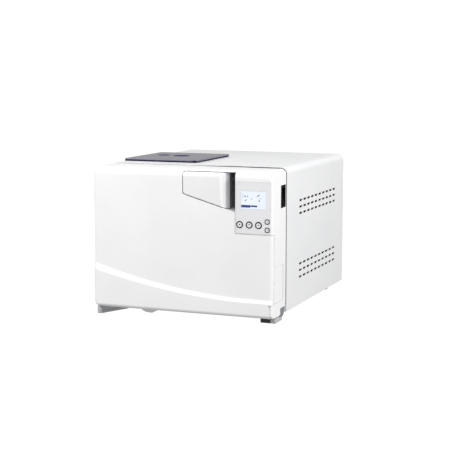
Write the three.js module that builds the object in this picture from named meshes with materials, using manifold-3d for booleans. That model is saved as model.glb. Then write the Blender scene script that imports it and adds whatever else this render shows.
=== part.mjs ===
// Benchtop steam autoclave: a sheet-steel cabinet round a horizontal pressure chamber, a deep
// moulded door hinged at its left edge, and a fixed console column at its right.
// Millimetres, +Z up. The front faces -Y and +X is at the right of a person who faces it.
// The origin is the middle of the footprint, on the surface that the feet stand on.
import * as THREE from "three";
import { mergeVertices } from "three/addons/utils/BufferGeometryUtils.js";
import Module from "manifold-3d";

// ---------------------------------------------------------------- driving dimensions
const WIDTH = 495;
const DEPTH = 624;
const TOP = 392; // upper face of the casing
const BASE = 20; // lower edge of the casing, above the feet
const BEZEL = 106; // depth of the door and console in front of the casing
const APRON = 5; // how far the curved apron stands in front of the door's face
const SHEET = 2; // casing steel
const WALL = 3; // moulded walls
const SEAM_GAP = 2; // between the casing and the door or column
const SHELL_ROUND = 12; // radius along the upper front edge
const CASING_ROUND = 16; // radius along the casing's upper edges

const RIGHT = WIDTH / 2;
const LEFT = -RIGHT;
const REAR = DEPTH / 2;
const FRONT = -REAR;
const FACE = FRONT + APRON;
const SEAM = FACE + BEZEL;
const CASING_FRONT = SEAM + SEAM_GAP;
const DOOR_BOTTOM = BASE + 1;
const DOOR_TOP = TOP - 1;

// door, console column and the thin skin of the door that passes in front of the column
const DOOR_RIGHT = 148;
const COLUMN_LEFT = 149.2;
const SKIN_TOP = 232;
const SKIN_BACK = FACE + 14;
const SKIN_RIGHT = RIGHT - 0.2;
const CORNER_BLOCK_LEFT = 240.3;
const CORNER_BLOCK_TOP = 55.5;
const HINGE_RADIUS = 12; // the door's rear left corner turns about its own centre
const HINGE = [LEFT + HINGE_RADIUS, SEAM - HINGE_RADIUS];
const HINGE_HEIGHTS = [96, 306];

// handle in its recess at the door's upper right
const RECESS_LEFT = 4.6;
const RECESS_TOP = 386;
const RECESS_FLOOR = FACE + 42;
const RECESS_LEFT_FOOT = 326.5;
const RECESS_SLOPE = -0.2875;
const HANDLE_GAP = 1.8;
const HANDLE_RIGHT = 129;
const HANDLE_THICK = 16;
const HANDLE_PIVOT = [12, FACE + 7];

// chamber
const CHAMBER = [-50, 185]; // X and Z of its axis
const BORE = 125;
const VESSEL_WALL = 3;
const VESSEL_FRONT = SEAM + 1;
const VESSEL_REAR = 150;
const FLANGE_RADIUS = 152;
const JACKET_RADIUS = 148;

// water tanks, their lid and its two filler caps
const LID = { left: -230, right: -18, front: -160, rear: 82, bottom: 396, top: 400, skirt: 393.4, edge: 2 };
const LID_PIVOT = [LID.rear + 5, LID.bottom + 0.4];
const TANK_TOP = 384;
const NECK_TOP = 395;
const CAPS = {
  used: { x: -176, y: -18, radius: 17.5 },
  clean: { x: -121, y: -23, radius: 22.5 },
};

// console
const FASCIA = { left: 151, right: 243, bottom: 234.5, top: 363.7 };
const SCREEN = { left: 164, right: 230.5, bottom: 296, top: 341.5 };
const ROUND_BUTTONS = [161, 186.5, 211];
const ROUND_BUTTON_Z = 256.5;
const SQUARE_BUTTON_X = 234;
const SQUARE_BUTTONS = [266.3, 245.6];

// side of the column
const SWITCH = { front: SEAM - 42, rear: SEAM - 5, bottom: 294, top: 351 };
const FLAP = { front: -288.1, rear: -223.9, bottom: 56.8, top: 148.4 };
const FLAP_PIVOT = [243.4, -226.4];

// rear wall
const REAR_PANEL = 283;
const PANEL_THICK = 2.5;
const FAN = [-70, 280]; // X and Z of its axis
const INLET = [178, 70];
const VALVE = [70, 300];
const OUTLET = [-190, 70];

const FINISHES = {
  shell: { color: 0xf2f3f4, roughness: 0.34, metalness: 0 },
  casing: { color: 0xe9eaeb, roughness: 0.42, metalness: 0 },
  fascia: { color: 0xdfe0e2, roughness: 0.45, metalness: 0 },
  black: { color: 0x101012, roughness: 0.5, metalness: 0 },
  lens: { color: 0xe6f7fa, roughness: 0.1, metalness: 0 },
  smoked: { color: 0x8d899a, roughness: 0.12, metalness: 0 },
  indigo: { color: 0x241f52, roughness: 0.35, metalness: 0 },
  steel: { color: 0xb9bcc0, roughness: 0.3, metalness: 1 },
  zinc: { color: 0x9da1a5, roughness: 0.45, metalness: 1 },
  aluminium: { color: 0xc3c6c9, roughness: 0.35, metalness: 1 },
  brass: { color: 0xb08d4a, roughness: 0.35, metalness: 1 },
  silicone: { color: 0xd9dcdd, roughness: 0.6, metalness: 0 },
  insulation: { color: 0xc9c5b8, roughness: 0.95, metalness: 0 },
  tank: { color: 0xe4e8ea, roughness: 0.4, metalness: 0 },
  rubber: { color: 0x1b1b1d, roughness: 0.9, metalness: 0 },
};

// ---------------------------------------------------------------- joining and cutting
const wasm = await Module();
wasm.setup();

function toSolid(geometry) {
  const bare = geometry.index ? geometry.toNonIndexed() : geometry.clone();
  bare.deleteAttribute("normal");
  bare.deleteAttribute("uv");
  const merged = mergeVertices(bare, 1e-3);
  const triVerts = new Uint32Array(merged.index.array);
  const vertProperties = new Float32Array(merged.attributes.position.array);
  const solid = new wasm.Manifold(new wasm.Mesh({ numProp: 3, vertProperties, triVerts }));
  if (solid.volume() > 0) return solid;
  // A profile drawn the other way round gives faces that point inwards.
  for (let i = 0; i < triVerts.length; i += 3) {
    triVerts.subarray(i, i + 3).reverse();
  }
  return new wasm.Manifold(new wasm.Mesh({ numProp: 3, vertProperties, triVerts }));
}

function toGeometry(solid) {
  const mesh = solid.getMesh();
  const geometry = new THREE.BufferGeometry();
  geometry.setAttribute("position", new THREE.BufferAttribute(mesh.vertProperties, 3));
  geometry.setIndex(new THREE.BufferAttribute(mesh.triVerts, 1));
  geometry.computeVertexNormals();
  return geometry;
}

function join(first, ...others) {
  const whole = others.reduce((sum, other) => sum.add(toSolid(other)), toSolid(first));
  return toGeometry(whole);
}

function cut(first, ...tools) {
  const rest = tools.reduce((sum, tool) => sum.subtract(toSolid(tool)), toSolid(first));
  return toGeometry(rest);
}

function common(first, ...others) {
  const shared = others.reduce((sum, other) => sum.intersect(toSolid(other)), toSolid(first));
  return toGeometry(shared);
}

// ---------------------------------------------------------------- plain shapes
function block([x0, x1], [y0, y1], [z0, z1]) {
  const box = new THREE.BoxGeometry(x1 - x0, y1 - y0, z1 - z0);
  return box.translate((x0 + x1) / 2, (y0 + y1) / 2, (z0 + z1) / 2);
}

// A closed outline; a corner given as [x, y, radius] is rounded.
function outline(corners) {
  const shape = new THREE.Shape();
  const at = (i) => new THREE.Vector2(corners[i][0], corners[i][1]);
  const count = corners.length;
  corners.forEach(([, , radius = 0], i) => {
    const corner = at(i);
    const before = at((i + count - 1) % count).sub(corner);
    const after = at((i + 1) % count).sub(corner);
    const half = before.angleTo(after) / 2;
    const reach = radius / Math.tan(half);
    const start = corner.clone().add(before.setLength(reach));
    const end = corner.clone().add(after.setLength(reach));
    if (i === 0) shape.moveTo(start.x, start.y);
    else shape.lineTo(start.x, start.y);
    if (radius > 0) shape.quadraticCurveTo(corner.x, corner.y, end.x, end.y);
  });
  shape.closePath();
  return shape;
}

function rectangle(x0, x1, y0, y1, radius = 0) {
  return outline([[x0, y0, radius], [x1, y0, radius], [x1, y1, radius], [x0, y1, radius]]);
}

function circle(x, y, radius) {
  return new THREE.Shape().absarc(x, y, radius, 0, Math.PI * 2);
}

function extrude(shape, depth, curveSegments = 5) {
  return new THREE.ExtrudeGeometry(shape, { depth, curveSegments, bevelEnabled: false });
}

// The outline's plane is XZ, seen from the front.
function alongY(shape, y0, y1, curveSegments) {
  return extrude(shape, y1 - y0, curveSegments).rotateX(Math.PI / 2).translate(0, y1, 0);
}

// The outline's plane is YZ, seen from the right.
function alongX(shape, x0, x1, curveSegments) {
  const turned = extrude(shape, x1 - x0, curveSegments).rotateX(Math.PI / 2);
  return turned.rotateZ(Math.PI / 2).translate(x0, 0, 0);
}

// The outline's plane is XY, seen from above.
function alongZ(shape, z0, z1, curveSegments) {
  return extrude(shape, z1 - z0, curveSegments).translate(0, 0, z0);
}

function rodX(y, z, radius, x0, x1, sides = 10) {
  return alongX(circle(y, z, radius), x0, x1, sides / 2);
}

function rodY(x, z, radius, y0, y1, sides = 10) {
  return alongY(circle(x, z, radius), y0, y1, sides / 2);
}

function rodZ(x, y, radius, z0, z1, sides = 10) {
  return alongZ(circle(x, y, radius), z0, z1, sides / 2);
}

// A turned piece about a line along Y: the profile lists [radius, y] pairs.
function turnedY(profile, x, z, segments = 32) {
  const points = profile.map(([radius, y]) => new THREE.Vector2(radius, y));
  return join(new THREE.LatheGeometry(points, segments).translate(x, 0, z));
}

// A turned piece about a vertical line: the profile lists [radius, z] pairs.
function turnedZ(profile, x, y, segments = 16) {
  const points = profile.map(([radius, z]) => new THREE.Vector2(radius, z));
  return join(new THREE.LatheGeometry(points, segments).rotateX(Math.PI / 2).translate(x, y, 0));
}

// ---------------------------------------------------------------- cabinet
function baseTray() {
  const floor = 2.5;
  const flange = 26;
  const side = RIGHT - SHEET - 2.2;
  const section = outline([
    [-side, BASE], [side, BASE], [side, BASE + flange], [side - floor, BASE + flange],
    [side - floor, BASE + floor], [-side + floor, BASE + floor],
    [-side + floor, BASE + flange], [-side, BASE + flange],
  ]);
  return alongY(section, SEAM + 6, REAR_PANEL - 1);
}

function ventSlots() {
  const slots = [];
  const rows = [298, 281, 264, 129.4, 112, 94];
  const [first, pitch, count] = [SEAM + 119, 33.4, 10];
  const [long, tall] = [24, 6];
  rows.forEach((z) => {
    for (let i = 0; i < count; i += 1) {
      const y = first + i * pitch;
      slots.push(block([LEFT - 1, RIGHT + 1], [y - long / 2, y + long / 2], [z - tall / 2, z + tall / 2]));
    }
  });
  return slots;
}

function casingWrap() {
  const r = CASING_ROUND;
  const inner = SHEET;
  const section = outline([
    [LEFT, BASE], [LEFT, TOP, r], [RIGHT, TOP, r], [RIGHT, BASE], [RIGHT - inner, BASE],
    [RIGHT - inner, TOP - inner, r - inner], [LEFT + inner, TOP - inner, r - inner], [LEFT + inner, BASE],
  ]);
  const wrap = alongY(section, CASING_FRONT, REAR);
  const well = block([LID.left + 6, LID.right - 6], [LID.front + 6, LID.rear - 6], [TOP - 10, TOP + 10]);
  return cut(wrap, well, ...ventSlots());
}

function endPanelOutline(bottom) {
  const side = RIGHT - SHEET - 0.7;
  const top = TOP - SHEET - 0.7;
  const r = CASING_ROUND - SHEET;
  return outline([[-side, bottom], [side, bottom], [side, top, r], [-side, top, r]]);
}

function frontFrame() {
  const plate = alongY(endPanelOutline(BASE + 1), CASING_FRONT, CASING_FRONT + 3);
  const mouth = rodY(...CHAMBER, FLANGE_RADIUS + 1, CASING_FRONT - 1, CASING_FRONT + 5, 36);
  return cut(plate, mouth);
}

function rearPanel() {
  const [y0, y1] = [REAR_PANEL, REAR_PANEL + PANEL_THICK];
  const plate = alongY(endPanelOutline(BASE + 1), y0, y1);
  const arcs = [];
  for (const radius of [20, 32, 44, 54]) {
    const ring = turnedY(
      [[radius - 3.4, y0 - 1], [radius + 3.4, y0 - 1], [radius + 3.4, y1 + 1], [radius - 3.4, y1 + 1],
        [radius - 3.4, y0 - 1]],
      FAN[0], FAN[1], 16,
    );
    const spoke = 2.4;
    const upright = block([FAN[0] - spoke, FAN[0] + spoke], [y0 - 2, y1 + 2], [FAN[1] - 70, FAN[1] + 70]);
    const level = block([FAN[0] - 70, FAN[0] + 70], [y0 - 2, y1 + 2], [FAN[1] - spoke, FAN[1] + spoke]);
    arcs.push(cut(ring, upright, level));
  }
  const inlet = block([INLET[0] - 14.5, INLET[0] + 14.5], [y0 - 1, y1 + 1], [INLET[1] - 11.5, INLET[1] + 11.5]);
  const valve = rodY(VALVE[0], VALVE[1], 8.5, y0 - 1, y1 + 1, 16);
  const outlet = rodY(OUTLET[0], OUTLET[1], 7.5, y0 - 1, y1 + 1, 16);
  return cut(plate, ...arcs, inlet, valve, outlet);
}

function runnerFoot(x0, x1, y0, y1) {
  const top = BASE - 0.3;
  const profile = outline([[y0, 3], [y0 + 4, 0], [y1 - 4, 0], [y1, 3], [y1, top], [y0, top]]);
  return alongX(profile, x0, x1);
}

// The left runner reaches forward under the door, and its right side widens towards the rear.
function splayedFoot() {
  const [left, front, rear] = [LEFT + 6, FRONT + 7, SEAM + 120];
  const plan = outline([
    [left, front], [left + 11, front], [left + 14, front + 15], [left + 46, SEAM - 19],
    [left + 51, SEAM + 51], [left + 51, rear], [left, rear],
  ]);
  return common(runnerFoot(left, left + 51, front, rear), alongZ(plan, 0, BASE));
}

function roundFoot(x, y) {
  const top = BASE - 0.3;
  return turnedZ([[0, 0], [15, 0], [17, 2], [19, top - 4], [19, top], [0, top]], x, y, 20);
}

// ---------------------------------------------------------------- chamber and trays
function chamberVessel() {
  const [r, w] = [BORE, VESSEL_WALL];
  const [front, rear] = [VESSEL_FRONT, VESSEL_REAR];
  const flange = 12;
  const profile = [
    [r, front], [r, rear - 20], [r * 0.8, rear - 6], [r * 0.45, rear], [0, rear + 2],
    [0, rear + 2 + w], [r * 0.47, rear + w], [r * 0.82, rear - 4 + w], [r + w, rear - 18],
    [r + w, front + flange], [FLANGE_RADIUS, front + flange], [FLANGE_RADIUS, front], [r, front],
  ];
  return turnedY(profile, ...CHAMBER, 32);
}

function sleeve(inner, outer, y0, y1, segments) {
  return turnedY([[inner, y0], [outer, y0], [outer, y1], [inner, y1], [inner, y0]], ...CHAMBER, segments);
}

function insulationJacket() {
  return sleeve(BORE + 7, JACKET_RADIUS, VESSEL_FRONT + 13, VESSEL_REAR - 22, 32);
}

function heaterBand() {
  const band = sleeve(BORE + VESSEL_WALL + 0.5, BORE + 6.5, -60, 40, 32);
  const split = block([CHAMBER[0] - 4, CHAMBER[0] + 4], [-61, 41], [CHAMBER[1] - 140, CHAMBER[1] - 120]);
  return cut(band, split);
}

function chamberCradle() {
  const [cx, cz] = CHAMBER;
  const floor = BASE + 3;
  const saddle = (y) => block([cx - 105, cx + 105], [y, y + 4], [floor, 95]);
  const tie = block([cx - 60, cx + 60], [-130, 100], [floor, floor + 4]);
  const hollow = rodY(cx, cz, JACKET_RADIUS + 1, -140, 120, 36);
  return cut(join(saddle(-130), saddle(96), tie), hollow);
}

const TRAY_LEVELS = [-50, -8, 34];
const TRAY_HALF = 84;

function trayRack() {
  const [cx, cz] = CHAMBER;
  const [plate, half, low, high] = [1.5, 88, -72, 72];
  const [ledge, thick] = [9, 1.5];
  const [front, rear] = [-176, 116];
  const at = (x0, x1, z0, z1) => block([cx + x0, cx + x1], [front, rear], [cz + z0, cz + z1]);
  const pieces = [at(-half, half, low, low + thick)];
  for (const side of [-1, 1]) {
    const span = (a, b) => (side > 0 ? [a, b] : [-b, -a]);
    pieces.push(at(...span(half - plate, half), low, high));
    pieces.push(at(...span(half - 6, half - 4), -89, low + thick));
    TRAY_LEVELS.forEach((z) => pieces.push(at(...span(half - ledge, half), z - thick, z)));
  }
  return join(...pieces);
}

function tray(level) {
  const [cx, cz] = CHAMBER;
  const [front, rear, tall, sheet] = [-172, 112, 16, 1.2];
  const z = cz + level + 0.4;
  const pan = block([cx - TRAY_HALF, cx + TRAY_HALF], [front, rear], [z, z + tall]);
  const inside = block(
    [cx - TRAY_HALF + sheet, cx + TRAY_HALF - sheet],
    [front + sheet, rear - sheet],
    [z + sheet, z + tall + 1],
  );
  return cut(pan, inside);
}

// ---------------------------------------------------------------- machinery
const STEAM = { x: 172, y: 70, radius: 36, bottom: 60, top: 204 };

function steamGenerator() {
  const { x, y, radius, bottom, top } = STEAM;
  const profile = [
    [0, bottom], [radius - 6, bottom], [radius, bottom + 6], [radius, top - 8], [radius - 6, top],
    [9, top], [9, top + 12], [0, top + 12],
  ];
  const legs = [-24, 24].map((dx) =>
    block([x + dx - 3, x + dx + 3], [y - 6, y + 6], [BASE + 3, bottom + 6]));
  return join(turnedZ(profile, x, y, 20), ...legs);
}

const VACUUM = { x: 168, z: 78, radius: 36, front: 130, rear: 225 };

function vacuumPump() {
  const { x, z, radius, front, rear } = VACUUM;
  const motor = rodY(x, z, radius, front, rear, 20);
  const head = block([x - 34, x + 34], [rear - 0.2, rear + 37], [z - 26, z + 34]);
  const plinth = block([x - 36, x + 36], [front + 10, rear + 30], [BASE + 3, z - 22]);
  const terminal = block([x - 18, x + 18], [front + 20, front + 60], [z + 30, z + 50]);
  return join(motor, head, plinth, terminal);
}

const FEED = { x: 150, z: 56, motor: 20, head: 25, front: -60, middle: -8, rear: 14 };

function waterPump() {
  const { x, z, front, middle, rear } = FEED;
  const motor = rodY(x, z, FEED.motor, front, middle, 16);
  const head = rodY(x, z, FEED.head, middle - 0.2, rear, 16);
  const plinth = block([x - 18, x + 18], [front + 8, rear - 8], [BASE + 3, z - 14]);
  const port = rodZ(x, rear - 10, 5, z + 14, z + 38, 10);
  return join(motor, head, plinth, port);
}

function powerSupply() {
  const box = block([196, 240], [-160, -40], [200, 290]);
  const fins = [];
  for (let i = 0; i < 6; i += 1) {
    const z = 210 + i * 13;
    fins.push(block([190, 198], [-154, -46], [z, z + 6]));
  }
  return cut(box, ...fins);
}

function bacterialFilter() {
  const profile = [
    [0, 100], [5, 100], [5, 112], [22, 118], [26, 124], [26, 150], [22, 156], [5, 162], [5, 174], [0, 174],
  ];
  return turnedZ(profile, 208, -140, 20);
}

function condenser() {
  const [x0, x1] = [FAN[0] - 58, FAN[0] + 58];
  const [z0, z1] = [FAN[1] - 58, FAN[1] + 58];
  const core = block([x0, x1], [206, 244], [z0, z1]);
  const gaps = [];
  for (let z = z0 + 8; z < z1 - 8; z += 12) {
    gaps.push(block([x0 + 6, x1 - 6], [205, 217], [z, z + 6]));
    gaps.push(block([x0 + 6, x1 - 6], [233, 245], [z, z + 6]));
  }
  return cut(core, ...gaps);
}

function fanHousing() {
  const [x, z] = FAN;
  const [y0, y1] = [REAR_PANEL - 28, REAR_PANEL - 1];
  const frame = block([x - 59.5, x + 59.5], [y0, y1], [z - 59.5, z + 59.5]);
  const duct = rodY(x, z, 56, y0 - 1, y1 + 1, 32);
  const hub = rodY(x, z, 20, y1 - 5, y1, 16);
  const strut = block([x - 58, x + 58], [y1 - 4, y1], [z - 3, z + 3]);
  const upright = block([x - 3, x + 3], [y1 - 4, y1], [z - 58, z + 58]);
  return join(cut(frame, duct), hub, strut, upright);
}

function fanRotor() {
  const [x, z] = FAN;
  const [y0, y1] = [REAR_PANEL - 26, REAR_PANEL - 7.5];
  const blades = [];
  const count = 7;
  for (let i = 0; i < count; i += 1) {
    const blade = new THREE.BoxGeometry(28, 2, 36).rotateZ(Math.PI / 7).translate(0, 0, 34);
    blade.rotateY((i * 2 * Math.PI) / count).translate(x, (y0 + y1) / 2, z);
    blades.push(blade);
  }
  return join(rodY(x, z, 19, y0, y1, 16), ...blades);
}

function powerInlet() {
  const [x, z] = INLET;
  const face = REAR_PANEL + PANEL_THICK + 0.4;
  const flange = block([x - 25, x + 25], [face, face + 3], [z - 14, z + 14]);
  const body = block([x - 13.5, x + 13.5], [REAR_PANEL - 20, face + 1], [z - 10.5, z + 10.5]);
  const socket = block([x - 11.5, x + 11.5], [REAR_PANEL - 14, face + 4], [z - 8, z + 8]);
  const pins = [[-7, 0], [0, 4], [7, 0]].map(([dx, dz]) =>
    block([x + dx - 1, x + dx + 1], [REAR_PANEL - 15, face], [z + dz - 2.2, z + dz + 2.2]));
  return join(cut(join(flange, body), socket), ...pins);
}

function safetyValve() {
  const y = REAR_PANEL;
  const profile = [
    [0, y - 40], [6, y - 40], [6, y - 24], [11, y - 22], [11, y - 2], [7.5, y - 1], [7.5, y + 8],
    [10, y + 9], [10, y + 18], [4, y + 20], [4, y + 25], [0, y + 25],
  ];
  return turnedY(profile, ...VALVE, 16);
}

function drainOutlet() {
  const y = REAR_PANEL;
  const profile = [
    [3.5, y - 18], [6.5, y - 18], [6.5, y + 4], [10, y + 4], [10, y + 8], [5.5, y + 9],
    [6.5, y + 14], [5.5, y + 15], [6.5, y + 20], [5.2, y + 25], [3.5, y + 25], [3.5, y - 18],
  ];
  return turnedY(profile, ...OUTLET, 16);
}

// ---------------------------------------------------------------- water tanks and their lid
function waterTank([x0, x1], [y0, y1], floor, { x, y, radius }, sides) {
  const w = 2.5;
  const shell = block([x0, x1], [y0, y1], [floor, TANK_TOP]);
  const inside = block([x0 + w, x1 - w], [y0 + w, y1 - w], [floor + w, TANK_TOP - w]);
  const neck = rodZ(x, y, radius - 4.5, TANK_TOP - 1, NECK_TOP, sides);
  const throat = rodZ(x, y, radius - 7, TANK_TOP - 4, NECK_TOP + 1, sides);
  return cut(join(shell, neck), inside, throat);
}

function fillerCap({ x, y, radius }) {
  const [skirt, top] = [388, 399.4];
  const inner = radius - 3.9;
  const profile = [
    [inner, skirt], [radius, skirt], [radius, top - 1.5], [radius - 1.5, top], [0, top],
    [0, NECK_TOP + 0.4], [inner, NECK_TOP + 0.4], [inner, skirt],
  ];
  return turnedZ(profile, x, y, 18);
}

const RIM_LUGS = [[-215, -205], [-43, -33]];
const LID_KNUCKLES = [[-204.5, -190], [-58, -43.5]];

// A thin flange shows outside the lid's turned-down edge, and the raised part stands inside it.
function tankRim() {
  const [z0, z1] = [TOP + 0.3, LID.bottom - 0.4];
  const inset = LID.edge + 0.6;
  const flange = alongZ(rectangle(LID.left - 2, LID.right + 2, LID.front - 2, LID.rear + 1, 8), z0, TOP + 1);
  const raised = alongZ(
    rectangle(LID.left + inset, LID.right - inset, LID.front + inset, LID.rear + 1, 5),
    z0, z1,
  );
  const well = block([LID.left + 8, LID.right - 8], [LID.front + 8, LID.rear - 8], [z0 - 1, z1 + 1]);
  const [py, pz] = LID_PIVOT;
  const lugs = RIM_LUGS.map(([x0, x1]) =>
    join(rodX(py, pz, 3, x0, x1), block([x0, x1], [LID.rear - 4, py + 3], [z0, z1 + 0.3])));
  const lidEdge = block([LID.left, LID.right], [LID.front, LID.rear + 0.8], [z1, LID.top + 1]);
  const pinHole = rodX(py, pz, 1.8, LID.left, LID.right);
  return cut(join(cut(join(flange, raised), well), ...lugs.map((lug) => cut(lug, lidEdge))), pinHole);
}

function tankLid() {
  const whole = rectangle(LID.left, LID.right, LID.front, LID.rear, 7);
  const plate = alongZ(whole, LID.bottom, LID.top);
  const drop = [LID.skirt, LID.bottom + 1];
  const skirt = cut(
    alongZ(whole, ...drop),
    block([LID.left + LID.edge, LID.right - LID.edge], [LID.front + LID.edge, LID.rear + 1], [390, LID.bottom + 2]),
    block([LID.left - 1, LID.right + 1], [LID.rear - 8, LID.rear + 1], [390, LID.bottom + 2]),
  );
  const holes = Object.values(CAPS).map(({ x, y, radius }) =>
    rodZ(x, y, radius + 1.8, LID.bottom - 1, LID.top + 1, 20));
  const [py, pz] = LID_PIVOT;
  const knuckles = LID_KNUCKLES.map(([x0, x1]) =>
    join(rodX(py, pz, 3, x0, x1), block([x0, x1], [LID.rear - 3, py], [LID.bottom, LID.bottom + 3.4])));
  const pin = rodX(py, pz, 1.4, RIM_LUGS[0][0] - 2, RIM_LUGS[1][1] + 2, 10);
  return join(cut(join(plate, skirt), ...holes), ...knuckles, pin);
}

// ---------------------------------------------------------------- console column
function sideColumn() {
  const t = 2.5;
  const r = 14;
  const skin = SKIN_BACK + 1.4;
  const foot = SKIN_TOP + 1;
  const profile = outline([
    [SEAM, DOOR_BOTTOM], [SEAM, DOOR_TOP], [FACE, DOOR_TOP, SHELL_ROUND], [FACE, foot],
    [skin, foot], [skin, DOOR_BOTTOM],
  ]);
  const front = outline([
    [COLUMN_LEFT, DOOR_BOTTOM - 1], [RIGHT, DOOR_BOTTOM - 1], [RIGHT, DOOR_TOP, r], [COLUMN_LEFT, DOOR_TOP],
  ]);
  const plan = outline([[COLUMN_LEFT, FACE], [RIGHT, FACE, 6], [RIGHT, SEAM], [COLUMN_LEFT, SEAM]]);
  const outer = common(
    alongX(profile, COLUMN_LEFT, RIGHT),
    alongY(front, FACE, SEAM),
    alongZ(plan, DOOR_BOTTOM, DOOR_TOP),
  );
  const cornerPlan = outline([
    [CORNER_BLOCK_LEFT, FACE], [RIGHT, FACE, 6], [RIGHT, skin + 2], [CORNER_BLOCK_LEFT, skin + 2],
  ]);
  const corner = alongZ(cornerPlan, DOOR_BOTTOM, CORNER_BLOCK_TOP);
  const [x0, x1] = [COLUMN_LEFT + t, RIGHT - t];
  const upper = block([x0, x1], [FACE + t, SEAM + 1], [foot + t, DOOR_TOP - t - 3]);
  const lower = block([x0, x1], [skin + t, SEAM + 1], [DOOR_BOTTOM + t, foot + t + 2]);
  const seat = block([FASCIA.left - 0.4, FASCIA.right + 0.4], [FACE - 1, FACE + 1.8],
    [FASCIA.bottom - 0.4, FASCIA.top + 0.4]);
  const window = block([FASCIA.left + 1.4, FASCIA.right - 2], [FACE - 1, FACE + 8],
    [FASCIA.bottom + 3, FASCIA.top - 3]);
  const switchHole = block([RIGHT - 8, RIGHT + 1], [SWITCH.front - 0.4, SWITCH.rear + 0.4],
    [SWITCH.bottom - 0.4, SWITCH.top + 0.4]);
  const flapHole = block([RIGHT - 8, RIGHT + 1], [FLAP.front - 0.5, FLAP.rear + 1.9],
    [FLAP.bottom - 0.6, FLAP.top + 0.6]);
  const notch = block([RIGHT - 12, RIGHT + 1], [SEAM - 43, SEAM + 1], [DOOR_BOTTOM - 1, 38]);
  const bolts = BOLT_HEIGHTS.map((z) => rodX(BOLT_Y, z, BOLT_RADIUS + 1, x0 - 5, x0 + 1));
  return cut(join(outer, corner), upper, lower, seat, window, switchHole, flapHole, notch, ...bolts);
}

function controlFascia() {
  const plate = alongY(rectangle(FASCIA.left, FASCIA.right, FASCIA.bottom, FASCIA.top, 2), FACE, FACE + 1.5);
  const [y0, y1] = [FACE - 1, FACE + 3];
  const window = block([SCREEN.left, SCREEN.right], [y0, y1], [SCREEN.bottom, SCREEN.top]);
  const rounds = ROUND_BUTTONS.map((x) => rodY(x, ROUND_BUTTON_Z, 9.1, y0, y1, 16));
  const squares = SQUARE_BUTTONS.map((z) =>
    alongY(rectangle(SQUARE_BUTTON_X - 6.5, SQUARE_BUTTON_X + 6.5, z - 6.5, z + 6.5, 4), y0, y1, 3));
  return cut(plate, window, ...rounds, ...squares);
}

function displayModule() {
  const screen = block([SCREEN.left - 4, SCREEN.right + 4], [FACE + 2.2, FACE + 14],
    [SCREEN.bottom - 5, SCREEN.top + 5]);
  const header = block([190, 206], [FACE + 13, FACE + 21.5], [SCREEN.bottom, SCREEN.bottom + 8]);
  const board = block([156, 241], [FACE + 21, FACE + 22.6], [242, 372]);
  const chips = [[170, 270], [195, 268], [180, 355], [215, 350]].map(([x, z]) =>
    block([x, x + 14], [FACE + 22, FACE + 26], [z, z + 12]));
  return join(screen, header, board, ...chips);
}

function displayLens() {
  const e = 0.35;
  return block([SCREEN.left + e, SCREEN.right - e], [FACE + 0.3, FACE + 1.7], [SCREEN.bottom + e, SCREEN.top - e]);
}

function roundButton(x) {
  const profile = [
    [0, FACE - 0.8], [7.8, FACE - 0.8], [8.6, FACE], [8.6, FACE + 7], [2.5, FACE + 7],
    [2.5, FACE + 18], [0, FACE + 18],
  ];
  return turnedY(profile, x, ROUND_BUTTON_Z, 16);
}

function squareButton(z) {
  const half = 6;
  const shape = rectangle(SQUARE_BUTTON_X - half, SQUARE_BUTTON_X + half, z - half, z + half, 4);
  return join(alongY(shape, FACE - 0.8, FACE + 7, 3), rodY(SQUARE_BUTTON_X, z, 2, FACE + 6, FACE + 18, 8));
}

function switchInsert() {
  const { front, rear, bottom, top } = SWITCH;
  const body = block([232, RIGHT - 0.3], [front, rear], [bottom, top]);
  const recess = block([235.5, RIGHT + 1], [front + 7, rear - 7], [302, 343]);
  return cut(body, recess);
}

const ROCKER = [242.2, (SWITCH.front + SWITCH.rear) / 2, (SWITCH.bottom + SWITCH.top) / 2];
const ROCKER_TILT = (8 * Math.PI) / 180;

function rockerSwitch() {
  const body = new THREE.BoxGeometry(4, 22, 39).rotateY(-ROCKER_TILT);
  return body.translate(...ROCKER);
}

function drainNiche() {
  const outer = block([216, RIGHT - 3], [FLAP.front - 0.2, -219.8], [FLAP.bottom - 4, FLAP.top + 4]);
  const inside = block([218.5, RIGHT], [FLAP.front + 2, -221.8], [FLAP.bottom - 0.4, FLAP.top + 0.4]);
  const pegs = rodZ(...FLAP_PIVOT, 1.3, FLAP.bottom - 3.2, FLAP.top + 3.2, 10);
  const taps = TAP_HEIGHTS.map((z) => rodX(TAP_Y, z, 7, 214, 220));
  return cut(outer, inside, pegs, ...taps);
}

const TAP_Y = -258;
const TAP_HEIGHTS = [82, 122];

function drainManifold() {
  const body = block([196, 213], [TAP_Y - 14, TAP_Y + 14], [66, 138]);
  const stems = TAP_HEIGHTS.map((z) => rodX(TAP_Y, z, 6, 212, 228));
  const spouts = TAP_HEIGHTS.map((z) => rodX(TAP_Y + 22, z - 8, 4, 200, 212));
  const bridges = TAP_HEIGHTS.map((z) => block([200, 212], [TAP_Y + 12, TAP_Y + 24], [z - 11, z - 5]));
  return join(body, ...stems, ...spouts, ...bridges);
}

function drainValve(z) {
  const hub = rodX(TAP_Y, z, 8, 228.5, 236);
  const lever = block([231, 236], [TAP_Y - 2.5, TAP_Y + 2.5], [z - 17, z + 2]);
  return join(hub, lever);
}

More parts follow.
